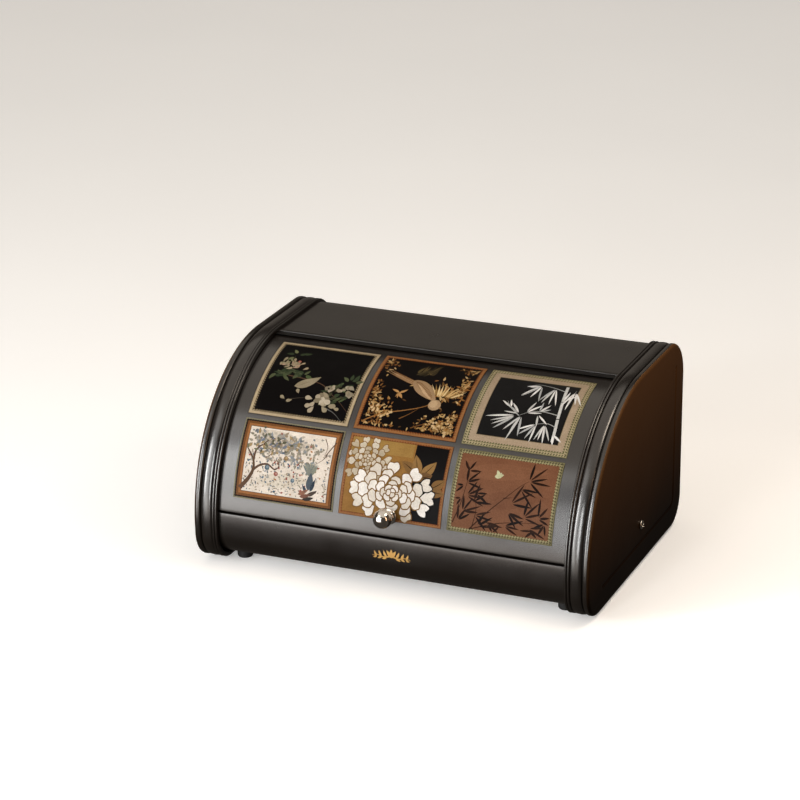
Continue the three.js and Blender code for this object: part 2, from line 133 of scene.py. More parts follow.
def make_camera():
    """The photo's view, fitted to it by features."""
    aim, distance = world(-1.3, -113.08, 139.23), 2.765
    back, roll = direction(22.62, 20.56), math.radians(-0.39)
    lens, sensor, far = 133.03, 36, 50
    right = (-back).cross(Vector((0, 0, 1))).normalized()
    up = right.cross(-back)
    tilted_right = right * math.cos(roll) + up * math.sin(roll)
    tilted_up = up * math.cos(roll) - right * math.sin(roll)
    turn = Matrix((tilted_right, tilted_up, back)).transposed()
    data = bpy.data.cameras.new("camera")
    data.sensor_width, data.lens, data.clip_end = sensor, lens, far
    camera = placed("camera", data)
    camera.matrix_world = Matrix.Translation(aim + back * distance) @ turn.to_4x4()
    bpy.context.scene.camera = camera


make_camera()


# ---- Materials ----

def linear(hex_colour):
    """An sRGB colour such as 0x46403b as linear (r, g, b, 1)."""
    channels = [(hex_colour >> shift & 255) / 255 for shift in (16, 8, 0)]
    out = [c / 12.92 if c <= 0.04045 else ((c + 0.055) / 1.055) ** 2.4 for c in channels]
    return (*out, 1.0)


class Nodes:
    """A small helper around one material's node tree."""

    def __init__(self, name, **sockets):
        self.material = bpy.data.materials.new(name)
        self.material.use_nodes = True
        self.tree = self.material.node_tree
        self.shader = self.tree.nodes["Principled BSDF"]
        for socket, value in sockets.items():
            self.shader.inputs[socket.replace("_", " ")].default_value = value

    def add(self, kind, inputs=(), **properties):
        node = self.tree.nodes.new(kind)
        for key, value in properties.items():
            setattr(node, key, value)
        for socket, value in dict(inputs).items():
            self.set(node, socket, value)
        return node

    def set(self, node, socket, value):
        if isinstance(value, bpy.types.NodeSocket):
            self.tree.links.new(value, node.inputs[socket])
        else:
            node.inputs[socket].default_value = value

    def coordinates(self):
        return self.add("ShaderNodeTexCoord").outputs["Object"]

    def noise(self, scale, detail):
        inputs = {"Scale": scale, "Detail": detail, "Vector": self.coordinates()}
        return self.add("ShaderNodeTexNoise", inputs).outputs["Fac"]

    def ramp(self, factor, low_colour, high_colour, margin=0.3):
        """A fade between two colours, which starts and ends at a margin from 0 and 1."""
        node = self.add("ShaderNodeValToRGB", {"Fac": factor})
        first, last = node.color_ramp.elements
        first.position, last.position = margin, 1 - margin
        first.color, last.color = low_colour, high_colour
        return node.outputs["Color"]

    def spread(self, factor, low, high):
        """A noise, mostly 0.25 to 0.75, brought to the range low to high."""
        inputs = {"Value": factor, "From Min": 0.25, "From Max": 0.75, "To Min": low, "To Max": high}
        return self.add("ShaderNodeMapRange", inputs).outputs["Result"]

    def bump(self, height, strength, distance, **under):
        """A bumpy normal; under may hold the Normal that it lies on."""
        inputs = {"Height": height, "Strength": strength, "Distance": distance, **under}
        return self.add("ShaderNodeBump", inputs).outputs["Normal"]

    def orange_peel(self):
        """Fine ripples over slow waves, as sprayed enamel has them."""
        waves = self.bump(self.noise(70, 1), 0.08, 0.0006)
        return self.bump(self.noise(950, 2), 0.12, 0.00008, Normal=waves)

    def finished(self, colour, roughness, normal):
        """The material, once its shader is driven by what varies over the surface."""
        for socket, value in (("Base Color", colour), ("Roughness", roughness), ("Normal", normal)):
            self.set(self.shader, socket, value)
        return self.material


def enamel(name, dark, light, roughness, specular):
    """Baked enamel over steel: fine orange peel, faint mottling and slightly uneven gloss."""
    n = Nodes(name, Metallic=0.0, Specular_IOR_Level=specular)
    colour = n.ramp(n.noise(9, 3), linear(dark), linear(light))
    gloss = n.spread(n.noise(26, 4), roughness - 0.035, roughness + 0.035)
    return n.finished(colour, gloss, n.orange_peel())


def side_enamel_painted_shade(name, low_colour, high_colour):
    """The side faces' paint: brown enamel that darkens towards the bottom; the brown and its fade are
    painted warm light and shade.
    """
    n = Nodes(name, Metallic=0.0, Specular_IOR_Level=0.06)
    # Painted light and shade: the colour fades from dark at the bottom to light at the top.
    height = n.add("ShaderNodeSeparateXYZ", {"Vector": n.coordinates()}).outputs["Z"]
    rise = n.add("ShaderNodeMapRange", {"Value": height, "From Min": 0.02, "From Max": 0.19})
    cloud = n.spread(n.noise(9, 3), -0.04, 0.04)
    inputs = {0: rise.outputs["Result"], 1: cloud}
    share = n.add("ShaderNodeMath", inputs, operation="ADD").outputs[0]
    colour = n.ramp(share, linear(low_colour), linear(high_colour), 0)
    return n.finished(colour, n.spread(n.noise(26, 4), 0.34, 0.4), n.orange_peel())


def bare_metal(name, colour, roughness, grain):
    """Plated metal with fine turning marks and small changes of gloss."""
    n = Nodes(name, Metallic=1.0)
    tint = linear(colour)
    darker = tuple(c * 0.8 for c in tint[:3]) + (1.0,)
    gloss = n.spread(n.noise(400, 3), roughness * 0.7, roughness * 1.3)
    marks = n.bump(n.noise(1800, 2), grain, 0.00004)
    return n.finished(n.ramp(n.noise(120, 3), darker, tint, 0.25), gloss, marks)


def moulded(name, dark, light, roughness, grain, metallic=0.0):
    """Moulded plastic, rubber or thick ink with a fine grain."""
    n = Nodes(name, Metallic=metallic)
    colour = n.ramp(n.noise(60, 4), linear(dark), linear(light))
    gloss = n.spread(n.noise(300, 3), roughness - 0.06, roughness + 0.06)
    return n.finished(colour, gloss, n.bump(n.noise(2200, 3), grain, 0.00012))


INK = "ink"  # colour attribute that holds the printed colours


def printed_film():
    """Printed film; the colours come from the mesh, broken up by a faint woven grain."""
    n = Nodes("printed_film", Metallic=0.0, Specular_IOR_Level=0.05)
    colour = n.add("ShaderNodeAttribute", attribute_name=INK).outputs["Color"]
    grain = n.ramp(n.noise(900, 3), (0.64, 0.64, 0.65, 1), (0.86, 0.86, 0.88, 1))
    blotch = n.ramp(n.noise(70, 4), (0.84, 0.82, 0.8, 1), (1, 1, 1, 1))
    for shade in (grain, blotch):
        mix = n.add("ShaderNodeMix", data_type="RGBA", blend_type="MULTIPLY")
        for socket, value in ((0, 1.0), (6, colour), (7, shade)):
            n.set(mix, socket, value)
        colour = mix.outputs[2]
    gloss = n.spread(n.noise(90, 3), 0.34, 0.46)
    return n.finished(colour, gloss, n.bump(n.noise(900, 2), 0.1, 0.00006))


PAINT = enamel("paint_satin", 0x110d0a, 0x15100c, 0.24, 1.0)
# A darker paint, painted shade, for the strip under the roof's front edge.
PAINT_STRIP_SHADE = enamel("paint_recess_painted_shade", 0x0b0a09, 0x0f0e0d, 0.4, 0.15)
# The side faces' brown and its fade from top to bottom are painted light and shade.
PAINT_SIDE_PAINTED_SHADE = side_enamel_painted_shade("paint_side_painted_shade", 0x110904, 0x573b21)
PAINT_INSIDE = enamel("paint_inside", 0x2a2320, 0x332b26, 0.45, 0.3)
CHROME = bare_metal("chrome", 0xe4ded6, 0.14, 0.05)
ZINC = bare_metal("zinc", 0xc2bdb4, 0.3, 0.2)
RUBBER = moulded("rubber", 0x0c0c0c, 0x171615, 0.72, 0.35)
NYLON = moulded("nylon", 0xcfc9ba, 0xdedacd, 0.5, 0.2)
GOLD = moulded("gold_print", 0xb48947, 0xcaa05a, 0.4, 0.1, 0.25)
FILM = printed_film()


# ---- Mesh helpers ----

def grid(rows, columns, start=0, wrap_rows=False, wrap_columns=False):
    """Quads over rows x columns of vertices that begin at index start."""
    faces = []
    for r in range(rows if wrap_rows else rows - 1):
        for c in range(columns if wrap_columns else columns - 1):
            below, beside = (r + 1) % rows, (c + 1) % columns
            faces.append([start + i for i in (
                r * columns + c, r * columns + beside,
                below * columns + beside, below * columns + c)])
    return faces


def new_object(name, vertices, faces, materials, face_material=None, closed=True, sharp=40):
    """A smooth-shaded mesh, with sharp edges where it turns by more than sharp degrees."""
    mesh = bpy.data.meshes.new(name)
    mesh.from_pydata([tuple(v) for v in vertices], [], faces)
    for material in materials:
        mesh.materials.append(material)
    if face_material:
        mesh.polygons.foreach_set("material_index", face_material)
    if closed:
        work = bmesh.new()
        work.from_mesh(mesh)
        bmesh.ops.recalc_face_normals(work, faces=work.faces)
        work.to_mesh(mesh)
        work.free()
    mesh.shade_smooth()
    mesh.set_sharp_from_angle(angle=math.radians(sharp))
    return placed(name, mesh)


def settle(piece, body, slot, *nodes):
    """The piece rides on a body and stands for CAD nodes; slot is not used."""
    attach(piece, body)
    if nodes:
        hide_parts(*nodes)


def lathe(profile, turn, steps, sink=None, sink_above=0.0):
    """A closed solid turned about local +Z from [radius, height] pairs in millimetres.

    A profile that starts and ends on the axis closes there; any other closes on itself.
    sink(x, y) lowers the points that lie above the height sink_above."""
    on_axis = profile[0][0] == 0
    ring_points = profile[1:-1] if on_axis else profile
    vertices = []
    for radius, height in ring_points:
        for i in range(steps):
            a = 2 * math.pi * i / steps
            x, y = radius * math.cos(a), radius * math.sin(a)
            drop = sink(x, y) if sink and height > sink_above else 0
            vertices.append(turn @ Vector((x, y, height - drop)))
    faces = grid(len(ring_points), steps, wrap_rows=not on_axis, wrap_columns=True)
    if on_axis:
        for pole, row in ((profile[0], 0), (profile[-1], len(ring_points) - 1)):
            drop = sink(0, 0) if sink and pole[1] > sink_above else 0
            vertices.append(turn @ Vector((0, 0, pole[1] - drop)))
            hub = len(vertices) - 1
            first = row * steps
            faces += [[hub, first + i, first + (i + 1) % steps] for i in range(steps)]
    return vertices, faces


def rounded(corners, radii, steps=5):
    """A polyline through 2-D corners; each inner one is rounded with its own radius."""
    points = [Vector(corners[0])]
    for before, corner, after, radius in zip(corners, corners[1:], corners[2:], radii):
        corner = Vector(corner)
        to_before = (Vector(before) - corner).normalized()
        to_after = (Vector(after) - corner).normalized()
        half = to_before.angle(to_after) / 2
        reach = radius / math.tan(half)
        centre = corner + (to_before + to_after).normalized() * radius / math.sin(half)
        first = corner + to_before * reach - centre
        last = corner + to_after * reach - centre
        swing = first.angle_signed(last)
        for i in range(steps + 1):
            points.append(centre + Matrix.Rotation(-swing * i / steps, 2) @ first)
    points.append(Vector(corners[-1]))
    return points


def at_angle(r, t):
    """The point (y, z) at a radius and an angle t about the pivot."""
    turn = math.radians(t)
    return Vector((-r * math.cos(turn), r * math.sin(turn)))


def arc(centre, r, start, end, steps):
    """Points (y, z) from angle start to angle end about a centre."""
    return [Vector(centre) + at_angle(r, start + (end - start) * i / steps) for i in range(steps + 1)]


def straight(a, b, steps):
    """Points between a and b, without the two ends."""
    return [Vector(a).lerp(Vector(b), i / steps) for i in range(1, steps)]


# ---- Outlines in the side view (y, z) ----

BACK_TOP = (CREST_BACK - BACK_TOP_R, CREST_R - BACK_TOP_R)


def front_arc(depth):
    return arc((0, 0), CREST_R + depth, 0, 90, 60)


def front_corner(big_r, floor_z, corner_r, depth=0.0, steps=16):
    """The round corner between a level floor and the big arc about the pivot."""
    z = floor_z + corner_r
    centre = (-math.sqrt((big_r - corner_r) ** 2 - z ** 2), z)
    tangent_t = math.degrees(math.atan2(z, -centre[0]))
    return arc(centre, corner_r + depth, -90, tangent_t, steps)


def back_top(depth, steps=22):
    return arc(BACK_TOP, BACK_TOP_R + depth, 90, 180, steps)


def back_bottom(back_y, floor_z, corner_r, depth=0.0, steps=16):
    return arc((back_y - corner_r, floor_z + corner_r), corner_r + depth, 180, 270, steps)


def cap_outline(depth):
    """The end cap's outline at a depth (negative is inwards) from the rim's crest."""
    corner = front_corner(CREST_R, CREST_BOTTOM, FRONT_BOTTOM_R, depth)
    front, top = front_arc(depth), back_top(depth)
    bottom = back_bottom(CREST_BACK, CREST_BOTTOM, BACK_BOTTOM_R, depth)
    return [
        *corner, *front,
        *straight(front[-1], top[0], 22), *top,
        *straight(top[-1], bottom[0], 32), *bottom,
        *straight(bottom[-1], corner[0], 54),
    ]


# ---- End caps ----

# The L-shaped groove: where its two runs lie and end, its bend, and its section.
GROOVE_Y = 102
GROOVE_TOP = 126
GROOVE_Z = -18
GROOVE_FRONT = -113
GROOVE_BEND = 9
GROOVE_HALF = 2.1
GROOVE_WALL = 1.3
GROOVE_DEPTH = 1.05


def segment_distance(p, a, b):
    """How far the point p is from the line that runs from a to b."""
    along = max(0.0, min(1.0, (p - a).dot(b - a) / (b - a).length_squared))
    return (p - a.lerp(b, along)).length


def groove_sink(p):
    """How far the pressed L-shaped groove lowers the side face at p."""
    bend = Vector((GROOVE_Y - GROOVE_BEND, GROOVE_Z + GROOVE_BEND))
    upright = segment_distance(p, Vector((GROOVE_Y, GROOVE_TOP)), Vector((GROOVE_Y, bend.y)))
    level = segment_distance(p, Vector((bend.x, GROOVE_Z)), Vector((GROOVE_FRONT, GROOVE_Z)))
    distance = min(upright, level)
    if p.x > bend.x and p.y < bend.y:
        distance = min(distance, abs((p - bend).length - GROOVE_BEND))
    share = max(0.0, min(1.0, (GROOVE_HALF - distance) / GROOVE_WALL))
    return GROOVE_DEPTH * share * share * (3 - 2 * share)


def half_round(inner, outer, crest, foot, steps=6):
    """A bead's profile from inner to outer, rising from foot to crest and back."""
    points = []
    for i in range(2 * steps + 1):
        a = math.pi * i / (2 * steps)
        middle, half = (inner + outer) / 2, (outer - inner) / 2
        points.append((middle - half * math.cos(a), foot + (crest - foot) * math.sin(a)))
    return points


def rim_profile():
    """(x, depth) from the lip's underside over the beads to the side face."""
    wide_middle, wide_half, wide_rise = 187.9, 5.55, 1.6
    wide = []
    for i in range(19):
        u = -0.97 + 1.94 * i / 18
        wide.append((wide_middle + wide_half * u, -wide_rise * (1 - math.sqrt(1 - u * u))))
    edge_steps, edge_x, edge_drop = 10, 198.0, 3.1
    edge = []
    for i in range(edge_steps + 1):
        a = math.pi / 2 * i / edge_steps
        edge.append((edge_x + (CAP_FACE - edge_x) * math.sin(a), -edge_drop * (1 - math.cos(a))))
    return [
        (CAP_LIP, -4.3), (CAP_LIP, -1.0),
        *half_round(CAP_LIP + 0.02, 179.1, 0, -0.9)[1:],
        (179.35, -1.3),
        *half_round(179.6, 182.0, 0, -0.9),
        (182.25, -1.9),
        *wide,
        (193.7, -3.0), (194.15, -2.8), (194.5, -1.6), (195.1, -0.5), (196.0, -0.08),
        *edge,
    ]


def end_cap(side):
    """A deep-drawn cap: the beaded rim, the side face with its groove, and the inside."""
    outer = rim_profile()
    inner_side = CAP_FACE - CAP_WALL
    inner = [
        (inner_side, -6.6), (inner_side - 1.2, -4.6), (inner_side - 3, -4.2), (180.2, -4.2),
        (179.6, -4.4),
    ]
    hub = Vector((20, 45))
    rings = [[(x, p) for p in cap_outline(depth)] for x, depth in outer]
    edge = [p for _, p in rings[-1]]
    # Rows from the edge towards the hub, close together where the groove runs.
    shares = [0.994, 0.98, 0.965]
    shares += [0.957 - 0.004 * i for i in range(66)] + [0.6, 0.4, 0.2, 0.08]
    for share in shares:
        spots = [hub.lerp(p, share) for p in edge]
        rings.append([(CAP_FACE - groove_sink(p), p) for p in spots])
    columns = len(edge)
    flip = 1 if side == "right" else -1
    vertices = [world(flip * x, p.x, p.y) for ring in rings for x, p in ring]
    faces = grid(len(rings), columns, wrap_columns=True)
    edge_rows = 8  # the rounded edge shares the side face's paint and its painted light and shade
    slots = [0] * (len(outer) - 1 - edge_rows) * columns + [1] * (len(shares) + edge_rows) * columns
    centre = len(vertices)
    vertices.append(world(flip * CAP_FACE, hub.x, hub.y))
    last = (len(rings) - 1) * columns
    faces += [[last + i, last + (i + 1) % columns, centre] for i in range(columns)]
    slots += [1] * columns
    # The inside: the same outline one wall further in, closed by a flat face.
    start = len(vertices)
    for x, depth in reversed(inner):
        vertices += [world(flip * x, p.x, p.y) for p in cap_outline(depth)]
    inner_faces = grid(len(inner), columns, start, wrap_columns=True)
    bridge = [[i, (i + 1) % columns, start + (i + 1) % columns, start + i] for i in range(columns)]
    floor_row = start + (len(inner) - 1) * columns
    faces += inner_faces + bridge + [[floor_row + i for i in range(columns)]]
    slots += [2] * (len(inner_faces) + len(bridge) + 1)
    name = f"end_cap_{side}"
    # Slot 1 is the side paint, whose colour is painted light and shade.
    paints = [PAINT, PAINT_SIDE_PAINTED_SHADE, PAINT_INSIDE]
    cap = new_object("fine_" + name, vertices, faces, paints, slots)
    settle(cap, "box", "paint", name)


for cap_side in ("left", "right"):
    end_cap(cap_side)


# ---- Bent sheets ----

def bent_sheet(name, path, low_x, high_x, inward, body, thickness=SHEET):
    """Sheet metal: the outer surface follows path; inward is 1 or -1, the side of its thickness."""
    normals = []
    for i, p in enumerate(path):
        along = (path[min(i + 1, len(path) - 1)] - path[max(i - 1, 0)]).normalized()
        normals.append(Vector((-along.y, along.x)) * inward)
    inner = [p + n * thickness for p, n in zip(path, normals)]
    loop = path + inner[::-1]
    count = len(loop)
    margin = 0.15  # a narrow strip at each end keeps the shading level
    columns_x = [low_x, low_x + margin, high_x - margin, high_x]
    vertices = [world(x, p.x, p.y) for x in columns_x for p in loop]
    faces = grid(len(columns_x), count, wrap_columns=True)
    for first in (0, (len(columns_x) - 1) * count):
        for i in range(len(path) - 1):
            faces.append([first + i, first + i + 1, first + count - 2 - i, first + count - 1 - i])
    sheet = new_object("fine_" + name, vertices, faces, [PAINT])
    settle(sheet, body, "paint", name)


def roof_and_back():
    """Roof with a rounded front edge, a thin strip under it, and a hem at its lower back edge."""
    roof_z = CREST_R - ROOF_DROP
    back_y = ROOF_HIGH.y - SKIN
    depth = roof_z - CREST_R
    hem_depth = 9
    step_y, nose, slope_y, slope_drop = -1.5, 0.45, 1.6, 0.42
    lower = arc((back_y - SHEET, ROOF_LOW.z + SHEET), SHEET, 180, 360, 12)
    path = arc((step_y + nose, roof_z - slope_drop - nose), nose, -60, 78, 14)
    path += rounded([path[-1], (slope_y, roof_z), (slope_y + 3, roof_z)], [4])[1:-1]
    path += straight(path[-1], (BACK_TOP[0], roof_z), 6)
    path += back_top(depth, 36)
    path += [*lower, Vector((back_y - 2 * SHEET, ROOF_LOW.z + hem_depth))]
    half = ROOF_HIGH.x - SHEET_INSET
    bent_sheet("roof_back_panel", path, -half, half, -1, "box", SHEET - 0.05)
    edge_y, under_z = ROOF_LOW.y + SKIN, ROOF_STRIP_Z
    strip_depth, thick = 9, 0.3
    bar = arc((edge_y + thick / 2, under_z + thick / 2), thick / 2, -90, 90, 10)
    bar.append(Vector((edge_y + strip_depth, under_z + thick)))
    bar.append(Vector((edge_y + strip_depth, under_z)))
    count = len(bar)
    vertices = [world(x, p.x, p.y) for x in (-half, half) for p in bar]
    faces = grid(2, count, wrap_columns=True) + [list(range(count)), list(range(count, 2 * count))]
    # The strip's darker paint is painted shade under the roof's front edge.
    strip = new_object("roof_front_strip", vertices, faces, [PAINT_STRIP_SHADE])
    settle(strip, "box", "paint")


def base_pan():
    """Front lip with its ledge, rounded under into the floor, and turned up at the back."""
    lip_t, ledge_r, bend = 4.45, 139, 0.7
    floor_z = PAN_LOW.z + SKIN
    back_y = PAN_HIGH.y - SKIN
    corner = at_angle(LID_R, lip_t)
    below = at_angle(LID_R, lip_t - 2)
    path = rounded([at_angle(ledge_r, lip_t), corner, below], [bend])[:-1]
    path += arc((0, 0), LID_R, lip_t - 1.2, -3.4, 8)
    path += front_corner(LID_R, floor_z, PAN_FRONT_CORNER_R, 0, 22)[::-1]
    path += back_bottom(back_y, floor_z, PAN_BACK_CORNER_R, 0, 20)[::-1]
    path.append(Vector((back_y, PAN_REAR_TOP_Z)))
    bent_sheet("base_pan", path, PAN_LOW.x + SHEET_INSET, PAN_HIGH.x - SHEET_INSET, 1, "box")


def lid():
    """The curved lid panel, with a flange turned in at both edges."""
    top_t, flange_r, bend = 94.5, 141, 0.7

    def edge(t, inwards):
        corners = [at_angle(flange_r, t), at_angle(LID_R, t), at_angle(LID_R, t + inwards)]
        return rounded(corners, [bend])

    low, high = edge(LID_BOTTOM_T, 2), edge(top_t, -2)[::-1]
    path = low[:-1] + arc((0, 0), LID_R, LID_BOTTOM_T + 1.2, top_t - 1.2, 90) + high[1:]
    bent_sheet("lid_panel", path, LID_LOW.x + SHEET_INSET, LID_HIGH.x - SHEET_INSET, -1, "lid")


roof_and_back()
base_pan()
lid()


# ---- Feet, knob and screws ----

def foot(corner):
    """A round rubber foot with a recess and a bore for its screw."""
    name = "foot_" + corner
    low, high = cad_box(name)
    radius = (high.x - low.x) / 2 - SKIN
    height = high.z - low.z
    recess, bore, deep = 4.1, 1.9, 3.4
    corners = [(recess, 0), (radius - 1, 0), (radius, 1.6), (radius, height), (bore, height)]
    outside = rounded(corners, [0.7, 1.5, 0.5])
    profile = [*outside, Vector((bore, deep)), Vector((recess, deep))]
    middle = (low + high) / 2
    turn = Matrix.Translation(world(middle.x, middle.y, low.z)) @ Matrix.Scale(MM, 4)
    piece = new_object("fine_" + name, *lathe(profile, turn, 48), [RUBBER], sharp=50)
    settle(piece, "box", "rubber", name)


for foot_corner in ("front_left", "front_right", "back_left", "back_right"):
    foot(foot_corner)


def from_pivot(degrees, axis):
    """Turns local +Z about a world axis through the pivot and brings millimetres to metres."""
    turn = Matrix.Rotation(math.radians(degrees), 4, axis)
    return Matrix.Translation(PIVOT) @ turn @ Matrix.Scale(MM, 4)


def knob():
    """A chrome ball on a flanged base; heights are counted from the pivot along its axis."""
    knob_t, base_r, ball_r, ball_centre = 13.1, 148.32, 9.12, 165.2
    axis = from_pivot(90 - knob_t, "X")
    ball = [(0, ball_centre - 6), (3.2, ball_centre - 6), (3.2, ball_centre - 8.2)]
    start = -math.acos(4.4 / ball_r)
    steps = 40
    for i in range(steps):
        rise = start + (math.pi / 2 - start) * i / steps
        ball.append((ball_r * math.cos(rise), ball_centre + ball_r * math.sin(rise)))
    ball.append((0, ball_centre + ball_r))
    neck_top = ball_centre - 8.3
    corners = [
        (2.6, base_r), (7.7, base_r), (7.7, base_r + 2.3), (5.1, base_r + 3.4), (4.2, neck_top),
        (2.6, neck_top),
    ]
    base = rounded(corners, [0.2, 0.9, 1.6, 0.2])
    for name, profile in (("knob_ball", ball), ("knob_base", base)):
        piece = new_object("fine_" + name, *lathe(profile, axis, 72), [CHROME], sharp=50)
        settle(piece, "lid", "chrome", name)


knob()


def cross_recess(x, y):
    """Depth of a screw's cross recess at x, y from its axis."""
    long, wide, deep, slope = 2.5, 0.62, 1.4, 0.3
    spin = 0.5
    a = abs(x * math.cos(spin) + y * math.sin(spin))
    b = abs(y * math.cos(spin) - x * math.sin(spin))

    def inside(p, limit):
        return min(1, max(0, (limit - p) / slope))

    return deep * max(inside(p, long) * inside(q, wide) for p, q in ((a, b), (b, a)))


def pivot_screw(side):
    """Round-head screw with a cross recess, through the cap's side."""
    name = "pivot_screw_" + side
    head_low, head_top, head_r = SCREW_HIGH.x - 2.6, SCREW_HIGH.x - SKIN, 4.55
    dome_low, rows = head_low + 0.7, 32
    dome = []
    for i in range(rows):
        r = head_r * (1 - i / rows)
        dome.append((r, dome_low + (head_top - dome_low) * math.sqrt(1 - (r / head_r) ** 2)))
    profile = [
        (0, SCREW_LOW.x), (1.6, SCREW_LOW.x), (2.5, SCREW_LOW.x + 1), (2.5, head_low),
        (head_r - 0.3, head_low), (head_r, head_low + 0.3), *dome, (0, head_top),
    ]
    turn = from_pivot(90 if side == "right" else -90, "Y")
    vertices, faces = lathe(profile, turn, 96, cross_recess, dome_low)
    piece = new_object("fine_" + name, vertices, faces, [ZINC])
    settle(piece, "box", "zinc", name)


for screw_side in ("left", "right"):
    pivot_screw(screw_side)


# ---- Printed films ----

FILM_THICKNESS = 0.2
FIRST_LAYER = 0.03  # height of the lowest print above its film
LAYER = 0.02  # height between two layers of print
STEP = 2.2  # longest piece of a stroke

Near = namedtuple("Near", "middle spread")  # a number drawn from a bell curve


def swell(delay, taper):
    """A stroke's share of its width at s, 0 to 1. A higher delay moves its widest place on, and
    a higher taper makes its ends thinner."""
    return lambda s: math.sin(math.pi * s ** delay) ** taper


SHAPES = {
    "leaf": swell(0.75, 0.9),
    "lance": swell(0.85, 0.75),
    "blade": swell(0.55, 1.3),
    "round": swell(1, 1),
    "petal": lambda s: swell(1.7, 0.55)(min(s, 0.999)) if s > 0 else 0.05,
    "heart": lambda s: swell(1.55, 0.7)(min(0.02 + s * 0.97, 0.985)),
    "twig": lambda s: 1 - 0.8 * s,
    "bar": lambda s: 1,
}


def smooth(points, steps):
    """A Catmull-Rom curve through 2-D points."""
    padded = [points[0], *points, points[-1]]
    out = []
    for a, b, c, d in zip(padded, padded[1:], padded[2:], padded[3:]):
        for i in range(steps):
            s = i / steps
            out.append(tuple(
                0.5 * (2 * q + (r - p) * s + (2 * p - 5 * q + 4 * r - w) * s * s
                       + (3 * q - p - 3 * r + w) * s ** 3)
                for p, q, r, w in zip(a, b, c, d)))
    out.append(tuple(points[-1]))
    return out


def print_colours(piece, colours):
    """One printed colour for each face of the piece."""
    layer = piece.data.color_attributes.new(INK, "FLOAT_COLOR", "CORNER")
    values = []
    for polygon, colour in zip(piece.data.polygons, colours):
        values += list(linear(colour)) * polygon.loop_total
    layer.data.foreach_set("color", values)


